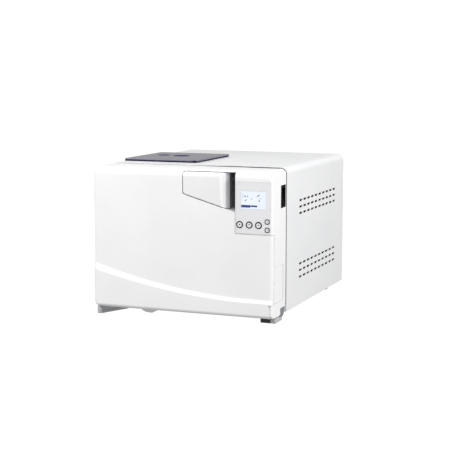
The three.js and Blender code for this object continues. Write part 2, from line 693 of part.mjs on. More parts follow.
function drainFlap() {
  const [px, py] = FLAP_PIVOT;
  const plan = outline([
    [RIGHT - 2.3, FLAP.front], [RIGHT - 0.1, FLAP.front], [RIGHT - 0.1, FLAP.rear - 1.5],
    [RIGHT - 1.6, FLAP.rear], [RIGHT - 2.3, FLAP.rear],
  ]);
  const plate = alongZ(plan, FLAP.bottom, FLAP.top);
  const ends = [[FLAP.bottom, FLAP.bottom + 6], [FLAP.top - 6, FLAP.top]].map(([z0, z1]) =>
    block([px - 1.2, RIGHT - 2], [py - 1.4, py + 1.5], [z0, z1]));
  const pegs = [[FLAP.bottom - 3, FLAP.bottom + 1], [FLAP.top - 1, FLAP.top + 3]].map(([z0, z1]) =>
    rodZ(px, py, 0.95, z0, z1, 8));
  return join(plate, ...ends, ...pegs);
}

// It closes the notch at the column's lower rear corner, and its lower edge slants.
function cornerBracket() {
  const profile = outline([
    [SEAM - 42, 22], [SEAM - 27, 13.5], [SEAM - 18, 13], [SEAM - 1, 16.5], [SEAM - 1, 50], [SEAM - 42, 50],
  ]);
  const web = alongX(profile, RIGHT - 7, RIGHT - 4.5);
  const flange = block([RIGHT - 30, RIGHT - 6], [SEAM - 3.5, SEAM - 1], [34, 50]);
  return join(web, flange);
}

// ---------------------------------------------------------------- door
// The apron's upper edge is a parabola that falls from the left and levels out at its right end.
function apronOutline() {
  const levelX = 210;
  const rise = 64;
  const level = BASE + 42;
  const shape = new THREE.Shape();
  shape.moveTo(LEFT - 40, -40);
  shape.lineTo(RIGHT + 40, -40);
  shape.lineTo(RIGHT + 40, level);
  shape.lineTo(levelX, level);
  shape.quadraticCurveTo((levelX + LEFT) / 2, level, LEFT, level + rise);
  shape.lineTo(LEFT - 40, level + rise + 12);
  shape.closePath();
  return shape;
}

function apron() {
  const [slope, proud] = [6, APRON];
  const slab = new THREE.ExtrudeGeometry(apronOutline(), {
    depth: 6,
    curveSegments: 14,
    bevelEnabled: true,
    bevelThickness: proud,
    bevelSize: slope,
    bevelOffset: 0,
    bevelSegments: 1,
  });
  return slab.rotateX(Math.PI / 2).translate(0, FACE + 6, 0);
}

function doorFrontOutline() {
  return outline([
    [LEFT, DOOR_BOTTOM, 12], [CORNER_BLOCK_LEFT - 0.8, DOOR_BOTTOM],
    [CORNER_BLOCK_LEFT - 0.8, CORNER_BLOCK_TOP + 0.8], [SKIN_RIGHT, CORNER_BLOCK_TOP + 0.8],
    [SKIN_RIGHT, SKIN_TOP], [DOOR_RIGHT, SKIN_TOP], [DOOR_RIGHT, DOOR_TOP], [LEFT, DOOR_TOP, 6],
  ]);
}

function recessOutline(grow) {
  const right = DOOR_RIGHT + 6;
  const foot = RECESS_LEFT_FOOT - grow;
  return outline([
    [RECESS_LEFT - grow, RECESS_TOP + grow], [RECESS_LEFT - grow, foot, 8 + grow],
    [right, foot + RECESS_SLOPE * (right - RECESS_LEFT)], [right, RECESS_TOP + grow],
  ]);
}

function doorOuter() {
  const plan = outline([
    [LEFT, FRONT, 8], [SKIN_RIGHT, FRONT, 6], [SKIN_RIGHT, SKIN_BACK], [DOOR_RIGHT, SKIN_BACK],
    [DOOR_RIGHT, SEAM], [HINGE[0], SEAM], [LEFT, HINGE[1]],
  ]);
  const corner = rodZ(...HINGE, HINGE_RADIUS, DOOR_BOTTOM, DOOR_TOP, 32);
  const profile = outline([
    [FRONT, DOOR_BOTTOM, 10], [FRONT, 130], [FACE, 140], [FACE, DOOR_TOP, SHELL_ROUND], [SEAM, DOOR_TOP],
    [SEAM, DOOR_BOTTOM],
  ]);
  const body = join(
    alongY(doorFrontOutline(), FACE, SEAM),
    common(apron(), alongY(doorFrontOutline(), FRONT, FACE + 5)),
  );
  return common(
    body,
    join(alongZ(plan, DOOR_BOTTOM - 1, DOOR_TOP + 1), corner),
    alongX(profile, LEFT, RIGHT),
  );
}

// The dished bump under the door, which keeps the open door's edge off the bench.
function underBump() {
  const top = DOOR_BOTTOM + 1.5;
  const dish = outline([
    [-129, top], [-123, 13.7], [-111.4, 8.7], [-94, 7.6], [-88, 11], [-82.5, 16], [-79, top],
  ]);
  return alongY(dish, SEAM - 80, SEAM - 38);
}

function doorCover() {
  const cavity = common(
    block([LEFT + WALL, DOOR_RIGHT - WALL], [FACE + WALL, SEAM + 1], [DOOR_BOTTOM + WALL, DOOR_TOP - WALL]),
    join(
      block([HINGE[0], RIGHT], [FRONT, SEAM + 2], [0, 400]),
      block([LEFT, HINGE[0] + 1], [FRONT, HINGE[1]], [0, 400]),
      rodZ(...HINGE, HINGE_RADIUS - WALL, 0, 400, 24),
    ),
    block([LEFT, RIGHT], [FACE + WALL, SEAM + 2], [0, DOOR_TOP - WALL]),
  );
  const tub = alongY(recessOutline(WALL), FACE, RECESS_FLOOR + WALL);
  const hollow = cut(cavity, tub);
  const skinHollow = block([DOOR_RIGHT + WALL, CORNER_BLOCK_LEFT - 4], [FACE + WALL, SKIN_BACK + 1],
    [DOOR_BOTTOM + WALL, SKIN_TOP - WALL]);
  const recess = alongY(recessOutline(0), FRONT - 1, RECESS_FLOOR);
  const pin = rodZ(...HANDLE_PIVOT, 1.8, RECESS_LEFT_FOOT - 6, RECESS_TOP + 2.4);
  const knuckles = HINGE_HEIGHTS.map((z) =>
    block([LEFT - 2, HINGE[0] + 12], [HINGE[1] - 15, SEAM + 1], [z - 14, z + 14]));
  const bolts = BOLT_HEIGHTS.map((z) => rodX(BOLT_Y, z, BOLT_RADIUS + 0.8, DOOR_RIGHT - 6, DOOR_RIGHT + 1));
  return cut(join(doorOuter(), underBump()), hollow, skinHollow, recess, pin, ...knuckles, ...bolts);
}

const BOLT_HEIGHTS = [110, 202];
const BOLT_Y = SEAM - 21;
const BOLT_RADIUS = 5;

function doorLiner() {
  const side = WALL + 0.6;
  const plate = alongY(
    rectangle(HINGE[0] + 13, DOOR_RIGHT - side, DOOR_BOTTOM + side, DOOR_TOP - side, 3),
    SEAM - 4, SEAM - 1,
  );
  const mouth = rodY(...CHAMBER, 149, SEAM - 5, SEAM + 1, 36);
  return cut(plate, mouth);
}

function pressureDoor() {
  const [back, front] = [SEAM - 5.5, SEAM - 22];
  const groove = SEAM - 10;
  const profile = [
    [0, front - 16], [14, front - 16], [14, front - 4], [60, front - 4], [120, front + 2], [146, front + 6],
    [146, back], [141, back], [141, groove], [128, groove], [128, back], [110, back], [60, back - 5], [0, back - 5],
  ];
  return turnedY(profile, ...CHAMBER, 32);
}

function doorGasket() {
  const [y0, y1] = [SEAM - 9.6, SEAM + 0.6];
  const profile = [
    [128.4, y0], [140.6, y0], [140.6, SEAM - 6], [138, y1], [131, y1], [128.4, SEAM - 6], [128.4, y0],
  ];
  return turnedY(profile, ...CHAMBER, 32);
}

function doorArm() {
  const [hx, hy] = HINGE;
  const spineRight = hx + 24;
  const spine = block([hx + 15, spineRight], [SEAM - 42, SEAM - 8], [62, 340]);
  const lugs = [];
  for (const z of HINGE_HEIGHTS) {
    for (const side of [-1, 1]) {
      const z0 = side > 0 ? z + 14.5 : z - 20.5;
      lugs.push(rodZ(hx, hy, 8, z0, z0 + 6, 20));
      lugs.push(block([hx, hx + 16], [hy - 8, hy + 4.5], [z0, z0 + 6]));
    }
  }
  const [cx, cz] = CHAMBER;
  const reach = block([spineRight - 1, cx + 34], [SEAM - 40, SEAM - 29], [cz - 26, cz + 26]);
  const boss = rodY(cx, cz, 14.5, SEAM - 50, SEAM - 20, 24);
  const holes = HINGE_HEIGHTS.map((z) => rodZ(hx, hy, 3.4, z - 22, z + 22, 12));
  return cut(join(spine, ...lugs, reach), boss, ...holes);
}

function hingeBracket(z) {
  const [hx, hy] = HINGE;
  const knuckle = rodZ(hx, hy, 8, z - 12, z + 12, 20);
  const arm = block([hx - 6, hx + 6], [hy, CASING_FRONT - 0.4], [z - 12, z + 12]);
  const pin = rodZ(hx, hy, 3, z - 22, z + 22, 12);
  return join(knuckle, arm, pin);
}

function lockBar() {
  const bar = block([118, 126], [BOLT_Y - 5, BOLT_Y + 5], [BOLT_HEIGHTS[0] - 10, BOLT_HEIGHTS[1] + 10]);
  const bolts = BOLT_HEIGHTS.map((z) => rodX(BOLT_Y, z, BOLT_RADIUS, 125, DOOR_RIGHT - 1.5));
  return join(bar, ...bolts);
}

function lockKeeper() {
  const plate = block([153, 157], [BOLT_Y - 14, BOLT_Y + 14], [BOLT_HEIGHTS[0] - 14, BOLT_HEIGHTS[1] + 14]);
  const holes = BOLT_HEIGHTS.map((z) => rodX(BOLT_Y, z, BOLT_RADIUS + 1, 152, 158));
  return cut(plate, ...holes);
}

function handleOutline() {
  const left = RECESS_LEFT + HANDLE_GAP;
  const foot = RECESS_LEFT_FOOT + HANDLE_GAP;
  return outline([
    [left, RECESS_TOP - HANDLE_GAP + 0.4], [left, foot, 7],
    [HANDLE_RIGHT, foot + RECESS_SLOPE * (HANDLE_RIGHT - left)], [HANDLE_RIGHT, RECESS_TOP - HANDLE_GAP + 0.4],
  ]);
}

function doorHandle() {
  const [left, right] = [RECESS_LEFT + HANDLE_GAP, HANDLE_RIGHT];
  const grip = 16;
  const back = FACE + 35;
  const plan = outline([
    [left, FACE, 5], [right, FACE, 4], [right, back, 3], [right - grip, back, 3],
    [right - grip, FACE + HANDLE_THICK, 4], [left, FACE + HANDLE_THICK],
  ]);
  const top = RECESS_TOP - HANDLE_GAP + 0.4;
  const profile = outline([[FACE, 280], [FACE, top, 6], [back, top], [back, 280]]);
  const body = common(
    alongY(handleOutline(), FACE, back),
    alongZ(plan, 280, RECESS_TOP),
    alongX(profile, 0, HANDLE_RIGHT + 5),
  );
  return join(body, rodZ(...HANDLE_PIVOT, 1.45, RECESS_LEFT_FOOT - 5, RECESS_TOP + 2, 10));
}

// ---------------------------------------------------------------- scene graph
// A mesh's shape is made in the part's frame, then hung in a group that sits on its pivot.
const autoclave = new THREE.Group();

function pivot(parent, x, y, z) {
  const group = new THREE.Group();
  group.userData.origin = new THREE.Vector3(x, y, z);
  group.position.copy(group.userData.origin).sub(parent.userData.origin);
  parent.add(group);
  return group;
}

function hang(parent, name, finish, geometry) {
  const { x, y, z } = parent.userData.origin;
  const material = new THREE.MeshStandardMaterial(FINISHES[finish]);
  const mesh = new THREE.Mesh(geometry.translate(-x, -y, -z), material);
  mesh.name = name;
  parent.add(mesh);
}

autoclave.userData.origin = new THREE.Vector3(0, 0, 0);
const cabinet = pivot(autoclave, 0, 0, BASE);

hang(cabinet, "base_tray", "zinc", baseTray());
hang(cabinet, "casing_wrap", "casing", casingWrap());
hang(cabinet, "front_frame", "casing", frontFrame());
hang(cabinet, "rear_panel", "casing", rearPanel());
hang(cabinet, "foot_front_left", "shell", splayedFoot());
hang(cabinet, "foot_front_right", "rubber", runnerFoot(200, 240, SEAM - 60, SEAM - 5));
hang(cabinet, "foot_rear_left", "rubber", roundFoot(-205, 250));
hang(cabinet, "foot_rear_right", "rubber", roundFoot(205, 250));

hang(cabinet, "chamber_vessel", "steel", chamberVessel());
hang(cabinet, "insulation_jacket", "insulation", insulationJacket());
hang(cabinet, "heater_band", "aluminium", heaterBand());
hang(cabinet, "chamber_cradle", "zinc", chamberCradle());
hang(cabinet, "tray_rack", "steel", trayRack());
["lower", "middle", "upper"].forEach((place, i) => {
  hang(cabinet, `tray_${place}`, "aluminium", tray(TRAY_LEVELS[i]));
});

hang(cabinet, "steam_generator", "steel", steamGenerator());
hang(cabinet, "vacuum_pump", "zinc", vacuumPump());
hang(cabinet, "water_pump", "black", waterPump());
hang(cabinet, "power_supply", "aluminium", powerSupply());
hang(cabinet, "bacterial_filter", "tank", bacterialFilter());
hang(cabinet, "condenser", "aluminium", condenser());
hang(cabinet, "fan_housing", "black", fanHousing());
hang(cabinet, "power_inlet", "black", powerInlet());
hang(cabinet, "safety_valve", "brass", safetyValve());
hang(cabinet, "drain_outlet", "brass", drainOutlet());
const fan = pivot(cabinet, FAN[0], REAR_PANEL - 16, FAN[1]);
hang(fan, "fan_rotor", "black", fanRotor());

hang(cabinet, "water_tank_used", "tank", waterTank([-241, -152], [-180, 180], 300, CAPS.used, 20));
hang(cabinet, "water_tank_clean", "tank", waterTank([-149, -20], [-180, 200], 338, CAPS.clean, 24));
hang(cabinet, "tank_rim", "shell", tankRim());
const lid = pivot(cabinet, 0, ...LID_PIVOT);
hang(lid, "tank_lid", "smoked", tankLid());
for (const [kind, cap] of Object.entries(CAPS)) {
  const seat = pivot(cabinet, cap.x, cap.y, NECK_TOP);
  hang(seat, `filler_cap_${kind}`, "indigo", fillerCap(cap));
}

hang(cabinet, "side_column", "shell", sideColumn());
hang(cabinet, "control_fascia", "fascia", controlFascia());
hang(cabinet, "display_module", "black", displayModule());
hang(cabinet, "display_lens", "lens", displayLens());
ROUND_BUTTONS.forEach((x, i) => {
  const key = pivot(cabinet, x, FACE, ROUND_BUTTON_Z);
  hang(key, `round_button_${i + 1}`, "fascia", roundButton(x));
});
SQUARE_BUTTONS.forEach((z, i) => {
  const key = pivot(cabinet, SQUARE_BUTTON_X, FACE, z);
  hang(key, `square_button_${i + 1}`, "fascia", squareButton(z));
});
hang(cabinet, "switch_insert", "black", switchInsert());
const rocker = pivot(cabinet, ...ROCKER);
hang(rocker, "rocker_switch", "black", rockerSwitch());
hang(cabinet, "drain_niche", "shell", drainNiche());
hang(cabinet, "drain_manifold", "brass", drainManifold());
["lower", "upper"].forEach((place, i) => {
  const tap = pivot(cabinet, 230, TAP_Y, TAP_HEIGHTS[i]);
  hang(tap, `drain_valve_${place}`, "black", drainValve(TAP_HEIGHTS[i]));
});
const flap = pivot(cabinet, ...FLAP_PIVOT, FLAP.bottom);
hang(flap, "drain_flap", "shell", drainFlap());
hang(cabinet, "corner_bracket", "zinc", cornerBracket());
hang(cabinet, "lock_keeper", "steel", lockKeeper());
["lower", "upper"].forEach((place, i) => {
  hang(cabinet, `hinge_bracket_${place}`, "zinc", hingeBracket(HINGE_HEIGHTS[i]));
});

const door = pivot(autoclave, ...HINGE, DOOR_BOTTOM);
hang(door, "door_cover", "shell", doorCover());
hang(door, "door_liner", "shell", doorLiner());
hang(door, "pressure_door", "steel", pressureDoor());
hang(door, "door_gasket", "silicone", doorGasket());
hang(door, "door_arm", "zinc", doorArm());
const locking = pivot(door, 118, BOLT_Y, BOLT_HEIGHTS[0]);
hang(locking, "lock_bar", "steel", lockBar());
const handle = pivot(door, ...HANDLE_PIVOT, RECESS_LEFT_FOOT);
hang(handle, "door_handle", "shell", doorHandle());

export default autoclave;
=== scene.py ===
"""The finished look of a benchtop steam autoclave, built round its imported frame.

Lengths in the classes are millimetres, in the frame's own axes: +Z up, the front faces -Y, and +X is at the
right of a person who faces it. Meshes are turned into metres when they are placed. Positions come from the
frame's own boxes wherever a frame node stands for the same piece.
"""

from __future__ import annotations

import logging
import math
from collections.abc import Callable, Iterable, Sequence
from dataclasses import dataclass, field
from enum import Enum

import bmesh
import bpy
from mathutils import Matrix, Vector

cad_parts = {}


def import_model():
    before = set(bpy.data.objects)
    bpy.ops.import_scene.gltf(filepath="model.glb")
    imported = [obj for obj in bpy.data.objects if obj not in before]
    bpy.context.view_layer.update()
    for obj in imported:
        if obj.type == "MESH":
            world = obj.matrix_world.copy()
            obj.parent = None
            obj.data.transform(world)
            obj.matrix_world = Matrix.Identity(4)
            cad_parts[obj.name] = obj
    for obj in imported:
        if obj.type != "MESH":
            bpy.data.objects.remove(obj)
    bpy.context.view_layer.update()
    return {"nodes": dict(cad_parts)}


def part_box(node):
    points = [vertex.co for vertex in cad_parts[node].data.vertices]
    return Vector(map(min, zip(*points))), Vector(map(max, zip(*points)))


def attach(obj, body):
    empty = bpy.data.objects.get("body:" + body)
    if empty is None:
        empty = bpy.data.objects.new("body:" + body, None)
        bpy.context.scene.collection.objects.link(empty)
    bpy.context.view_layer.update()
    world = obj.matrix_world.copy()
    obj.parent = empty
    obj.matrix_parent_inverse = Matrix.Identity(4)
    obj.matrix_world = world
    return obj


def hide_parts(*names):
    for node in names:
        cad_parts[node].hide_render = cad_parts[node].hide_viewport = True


LOG = logging.getLogger("autoclave")
MM = 0.001

Point = tuple[float, float]
Corner = tuple[float, ...]
Colour = tuple[float, float, float]

# Places that several pieces share, in millimetres: the chamber's axis (across, up), the lock bolts, the slope
# of the handle recess's lower edge, how far a cutting tool stands past its work, and a height above it all.
CHAMBER: Point = (-50.0, 185.0)
BOLT_HEIGHTS: Point = (110.0, 202.0)
BOLT_Y = -222.0
RECESS_SLOPE = -0.2875
CLEAR = 9.0
ABOVE = 420.0

SMOOTH_DEGREES = 34.0
NOISE_RANGE: Point = (0.3, 0.7)
ON_AXIS = 1e-6


class Axis(Enum):
    """The direction that a section is drawn out along."""

    X = "x"
    Y = "y"
    Z = "z"

    def place(self, u: float, v: float, along: float) -> Vector:
        """Puts a point of a section in space.

        Args:
            u: the section's first coordinate, x, or y where the axis is X.
            v: the section's second coordinate, z, or y where the axis is Z.
            along: the distance along the axis.

        Returns:
            The point, in millimetres.
        """
        if self is Axis.X:
            return Vector((along, u, v))
        if self is Axis.Y:
            return Vector((u, along, v))
        return Vector((u, v, along))


class Body(Enum):
    """The frame's moving and fixed bodies."""

    CABINET = "cabinet"
    DOOR = "door"
    HANDLE = "handle"
    LOCKING = "locking"
    LID = "lid"
    CAP_USED = "cap_used"
    CAP_CLEAN = "cap_clean"
    FAN = "fan"
    FLAP = "flap"
    ROCKER = "rocker"
    VALVE_LOWER = "valve_lower"
    VALVE_UPPER = "valve_upper"


class Slot(Enum):
    """The record's material slots."""

    CASING = "casing_paint"
    MOULDING = "white_moulding"
    FASCIA = "grey_fascia"
    BLACK = "black_plastic"
    DISPLAY = "display_glass"
    SMOKED = "smoked_plastic"
    INDIGO = "indigo_plastic"
    STAINLESS = "stainless"
    ZINC = "zinc_steel"
    ALUMINIUM = "aluminium"
    CAST = "cast_housing"
    BRASS = "brass"
    SILICONE = "silicone"
    INSULATION = "insulation"
    TANK = "tank_plastic"
    RUBBER = "rubber"


# ---------------------------------------------------------------- outlines
def rounded(corners: Sequence[Corner], steps: int = 6) -> list[Point]:
    """Rounds the corners of a closed outline.

    Args:
        corners: points (u, v) or (u, v, radius), in order round the outline.
        steps: how many straight steps each arc takes.

    Returns:
        The outline's points, each arc as steps + 1 of them.
    """
    made: list[Point] = []
    count = len(corners)
    for i, corner in enumerate(corners):
        here = Vector(corner[:2])
        radius = corner[2] if len(corner) > 2 else 0.0
        if radius <= 0:
            made.append((here.x, here.y))
            continue
        before = (Vector(corners[i - 1][:2]) - here).normalized()
        after = (Vector(corners[(i + 1) % count][:2]) - here).normalized()
        half = before.angle(after) / 2
        if half > 0.499 * math.pi:
            made.append((here.x, here.y))
            continue
        reach = radius / math.tan(half)
        centre = here + (before + after).normalized() * (radius / math.sin(half))
        start = here + before * reach - centre
        turn = start.angle_signed(here + after * reach - centre)
        for k in range(steps + 1):
            arm = start.copy()
            arm.rotate(Matrix.Rotation(-turn * k / steps, 2))
            made.append((centre.x + arm.x, centre.y + arm.y))
    return made


def rectangle(u: Point, v: Point, radius: float = 0.0, steps: int = 6) -> list[Point]:
    """A rectangle with round corners.

    Args:
        u: the low and high first coordinate.
        v: the low and high second coordinate.
        radius: the radius of its corners.
        steps: how many straight steps each corner takes.

    Returns:
        The outline's points.
    """
    corners = [(u[0], v[0]), (u[1], v[0]), (u[1], v[1]), (u[0], v[1])]
    return rounded([(*c, radius) for c in corners], steps)


def circle(u: float, v: float, radius: float, sides: int = 32) -> list[Point]:
    """A circle's points round (u, v).

    Args:
        u: the centre's first coordinate.
        v: its second coordinate.
        radius: the circle's radius.
        sides: how many flats go round.

    Returns:
        The points, in order.
    """
    turn = math.tau / sides
    return [(u + radius * math.cos(i * turn), v + radius * math.sin(i * turn)) for i in range(sides)]


def quarter(steps: int) -> list[float]:
    """The angles of a quarter turn, split into equal steps."""
    return [k / steps * math.pi / 2 for k in range(steps + 1)]


def arc_drop(distance: float, radius: float) -> float:
    """How far a rounded edge has fallen back at this distance from the side where it ends.

    Args:
        distance: how far from that side.
        radius: the rounding's radius.

    Returns:
        The fall.
    """
    if distance >= radius:
        return 0.0
    return radius - math.sqrt(max(0.0, radius**2 - (radius - distance) ** 2))


def eased(before: Point, corner: Point, after: Point, reach: float, steps: int = 4) -> list[Point]:
    """Replaces a corner between two lines with a short curve.

    Args:
        before: a point on the line that comes in.
        corner: the corner itself.
        after: a point on the line that goes out.
        reach: how far from the corner the curve starts and ends.
        steps: how many straight steps the curve takes.

    Returns:
        The curve's points.
    """
    middle = Vector(corner)
    start = middle + (Vector(before) - middle).normalized() * reach
    end = middle + (Vector(after) - middle).normalized() * reach
    made = []
    for k in range(steps + 1):
        t = k / steps
        p = start * (1 - t) ** 2 + middle * 2 * t * (1 - t) + end * t**2
        made.append((p.x, p.y))
    return made


# ---------------------------------------------------------------- solids
class Solid:
    """A closed mesh while it is being made, in millimetres."""

    def __init__(self, mesh: bpy.types.Mesh) -> None:
        """Keeps the mesh that later steps work on."""
        self.mesh = mesh

    @classmethod
    def of(cls, work: bmesh.types.BMesh) -> Solid:
        """Closes a bmesh, with its faces turned outwards, into a solid.

        Args:
            work: the bmesh, which is freed.

        Returns:
            The solid.
        """
        bmesh.ops.recalc_face_normals(work, faces=work.faces)
        mesh = bpy.data.meshes.new("work")
        work.to_mesh(mesh)
        work.free()
        return cls(mesh)

    @classmethod
    def rings(cls, rings: Sequence[Sequence[Vector]], closed: bool = False) -> Solid:
        """Skins closed rings of points that have the same count.

        Args:
            rings: the rings, in order.
            closed: whether the last ring joins the first. If not, both ends are capped.

        Returns:
            The solid between them.
        """
        work = bmesh.new()
        loops = [[work.verts.new(p) for p in ring] for ring in rings]
        count = len(loops[0])
        following = loops[1:] + loops[:1] if closed else loops[1:]
        for low, high in zip(loops, following):
            for i in range(count):
                j = (i + 1) % count
                work.faces.new((low[i], low[j], high[j], high[i]))
        if not closed:
            work.faces.new(loops[0])
            work.faces.new(loops[-1])
        return cls.of(work)

    @classmethod
    def prism(
        cls,
        axis: Axis,
        outline: Sequence[Point],
        span: Point,
        soft: float = 0.0,
        soft_start: float | None = None,
    ) -> Solid:
        """Draws an outline out along an axis.

        Args:
            axis: the direction.
            outline: the section's points, in order.
            span: where it starts and ends along the axis.
            soft: the radius on the edges round its end face.
            soft_start: the radius on the edges round its start face, soft if None.

        Returns:
            The solid.
        """
        work = bmesh.new()
        start = [work.verts.new(axis.place(u, v, span[0])) for u, v in outline]
        end = [work.verts.new(axis.place(u, v, span[1])) for u, v in outline]
        for i in range(len(start)):
            j = (i + 1) % len(start)
            work.faces.new((start[i], start[j], end[j], end[i]))
        ends = (work.faces.new(start), work.faces.new(end))
        bmesh.ops.recalc_face_normals(work, faces=work.faces)
        for face, radius in zip(ends, (soft if soft_start is None else soft_start, soft)):
            if radius > 0:
                bmesh.ops.bevel(
                    work, geom=list(face.edges), offset=radius, segments=4, profile=0.5, affect="EDGES",
                    clamp_overlap=True,
                )
        return cls.of(work)

    @classmethod
    def block(cls, x: Point, y: Point, z: Point, radius: float = 0.0, soft: float = 0.0) -> Solid:
        """A block between limits on each axis, with round upright corners and soft level edges."""
        return cls.prism(Axis.Z, rectangle(x, y, radius), z, soft)

    @classmethod
    def rod(cls, axis: Axis, u: float, v: float, radius: float, span: Point, soft: float = 0.0) -> Solid:
        """A round rod along an axis, centred on (u, v)."""
        return cls.prism(axis, circle(u, v, radius, 40), span, soft)

    @classmethod
    def turned(cls, axis: Axis, u: float, v: float, profile: Sequence[Point], sides: int = 64) -> Solid:
        """Turns a closed profile about a line along an axis.

        Args:
            axis: the line's direction.
            u: the line's place, as the first coordinate of a section.
            v: its second coordinate.
            profile: points (radius, distance along the axis), in order round a closed shape.
            sides: how many flats go round.

        Returns:
            The turned solid.
        """
        work = bmesh.new()
        loops: list[list[bmesh.types.BMVert]] = []
        for radius, along in profile:
            ring = [(u, v)] if radius < ON_AXIS else circle(u, v, radius, sides)
            loops.append([work.verts.new(axis.place(a, b, along)) for a, b in ring])
        for k, low in enumerate(loops):
            high = loops[(k + 1) % len(loops)]
            for i in range(sides):
                j = (i + 1) % sides
                quad = [low[i % len(low)], low[j % len(low)], high[j % len(high)], high[i % len(high)]]
                corners = list(dict.fromkeys(quad))
                if len(corners) > 2:
                    work.faces.new(corners)
        return cls.of(work)

    @classmethod
    def swept(
        cls, path: Sequence[Sequence[float]], radius: float, sides: int = 10, closed: bool = False
    ) -> Solid:
        """Bends a round wire along a path.

        Args:
            path: the points that the wire's middle follows.
            radius: the wire's radius.
            sides: how many flats go round it.
            closed: whether the wire comes back to its start.

        Returns:
            The wire.
        """
        points = [Vector(p) for p in path]
        count = len(points)
        section = circle(0, 0, radius, sides)
        rings = []
        side: Vector | None = None
        for i, here in enumerate(points):
            ahead = points[(i + 1) % count] if closed or i < count - 1 else here
            behind = points[i - 1] if closed or i > 0 else here
            way = (ahead - behind).normalized()
            if side is None:
                side = way.orthogonal().normalized()
            side = (side - way * side.dot(way)).normalized()
            other = way.cross(side)
            rings.append([here + side * a + other * b for a, b in section])
        return cls.rings(rings, closed)

    def _combined(self, tool: Solid, operation: str) -> Solid:
        """Runs one exact boolean with another solid and gives the result.

        Args:
            tool: the other solid.
            operation: the kind of boolean.

        Returns:
            The solid that is made.
        """
        pair = [bpy.data.objects.new("work", mesh) for mesh in (self.mesh, tool.mesh)]
        for made in pair:
            bpy.context.scene.collection.objects.link(made)
        step = pair[0].modifiers.new("boolean", "BOOLEAN")
        step.operation = operation
        step.solver = "EXACT"
        step.object = pair[1]
        graph = bpy.context.evaluated_depsgraph_get()
        mesh = bpy.data.meshes.new_from_object(pair[0].evaluated_get(graph), depsgraph=graph)
        for made in pair:
            bpy.data.objects.remove(made)
        return Solid(mesh)

    def cut(self, *tools: Solid) -> Solid:
        """What is left of it after the tools are taken away.

        Args:
            tools: what is taken away, in order.

        Returns:
            The rest.
        """
        left = self
        for tool in tools:
            left = left._combined(tool, "DIFFERENCE")
        return left

    def join(self, *others: Solid) -> Solid:
        """It and the others as one solid.

        Args:
            others: what is added, in order.

        Returns:
            The whole.
        """
        whole = self
        for other in others:
            whole = whole._combined(other, "UNION")
        return whole

    def common(self, *others: Solid) -> Solid:
        """Only what it shares with all of the others.

        Args:
            others: what it is held against, in order.

        Returns:
            The shared part.
        """
        shared = self
        for other in others:
            shared = shared._combined(other, "INTERSECT")
        return shared

    def beside(self, *others: Solid) -> Solid:
        """It and others that don't touch it, in one mesh.

        Args:
            others: the solids that join it.

        Returns:
            The one mesh.
        """
        work = bmesh.new()
        for solid in (self, *others):
            work.from_mesh(solid.mesh)
        return Solid.of(work)

    def eased(self, width: float, degrees: float = 50.0, steps: int = 2) -> Solid:
        """Rounds every edge that is sharper than an angle.

        Args:
            width: how far from the edge the rounding starts.
            degrees: the least angle between two faces that counts as an edge.
            steps: how many flats the rounding has.

        Returns:
            The rounded solid.
        """
        work = bmesh.new()
        work.from_mesh(self.mesh)
        bmesh.ops.remove_doubles(work, verts=work.verts, dist=0.005)
        bmesh.ops.dissolve_limit(work, angle_limit=math.radians(0.4), verts=work.verts, edges=work.edges)
        sharp = [
            edge for edge in work.edges
            if len(edge.link_faces) == 2 and edge.calc_face_angle(0.0) > math.radians(degrees)
        ]
        bmesh.ops.bevel(
            work, geom=sharp, offset=width, segments=steps, profile=0.5, affect="EDGES", clamp_overlap=True,
            miter_outer="ARC", loop_slide=True,
        )
        return Solid.of(work)

    def moved(self, matrix: Matrix) -> Solid:
        """A copy of it, turned and shifted.

        Args:
            matrix: the turn and shift.

        Returns:
            The copy.
        """
        mesh = self.mesh.copy()
        mesh.transform(matrix)
        return Solid(mesh)


def together(solids: Iterable[Solid]) -> Solid:
    """Puts solids that don't touch each other in one mesh.

    Args:
        solids: at least one solid.

    Returns:
        The one mesh.
    """
    first, *others = solids
    return first.beside(*others)


@dataclass(frozen=True)
class Box:
    """The limits of a frame node, in millimetres."""

    x: Point
    y: Point
    z: Point

    @classmethod
    def of(cls, node: str) -> Box:
        """Reads a node's limits from the frame.

        Args:
            node: the node's name.

        Returns:
            Its limits.
        """
        low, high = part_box(node)
        return cls(*((a / MM, b / MM) for a, b in zip(low, high)))

    @property
    def middle(self) -> tuple[float, float, float]:
        """The middle of the box."""
        return sum(self.x) / 2, sum(self.y) / 2, sum(self.z) / 2


# ---------------------------------------------------------------- finishes
class Grain(Enum):
    """How a surface's fine relief runs: noise scales along X, Y and Z."""

    EVEN = (1.0, 1.0, 1.0)
    BRUSHED_X = (0.03, 1.0, 1.0)
    BRUSHED_Y = (1.0, 0.03, 1.0)
    BRUSHED_Z = (1.0, 1.0, 0.03)


def linear(colour: str) -> Colour:
    """Turns a colour written as six hexadecimal digits into linear light.

    Args:
        colour: the six digits.

    Returns:
        Red, green and blue, each from 0 to 1.
    """
    parts = [int(colour[i : i + 2], 16) / 255 for i in (0, 2, 4)]
    return tuple(c / 12.92 if c <= 0.04045 else ((c + 0.055) / 1.055) ** 2.4 for c in parts)


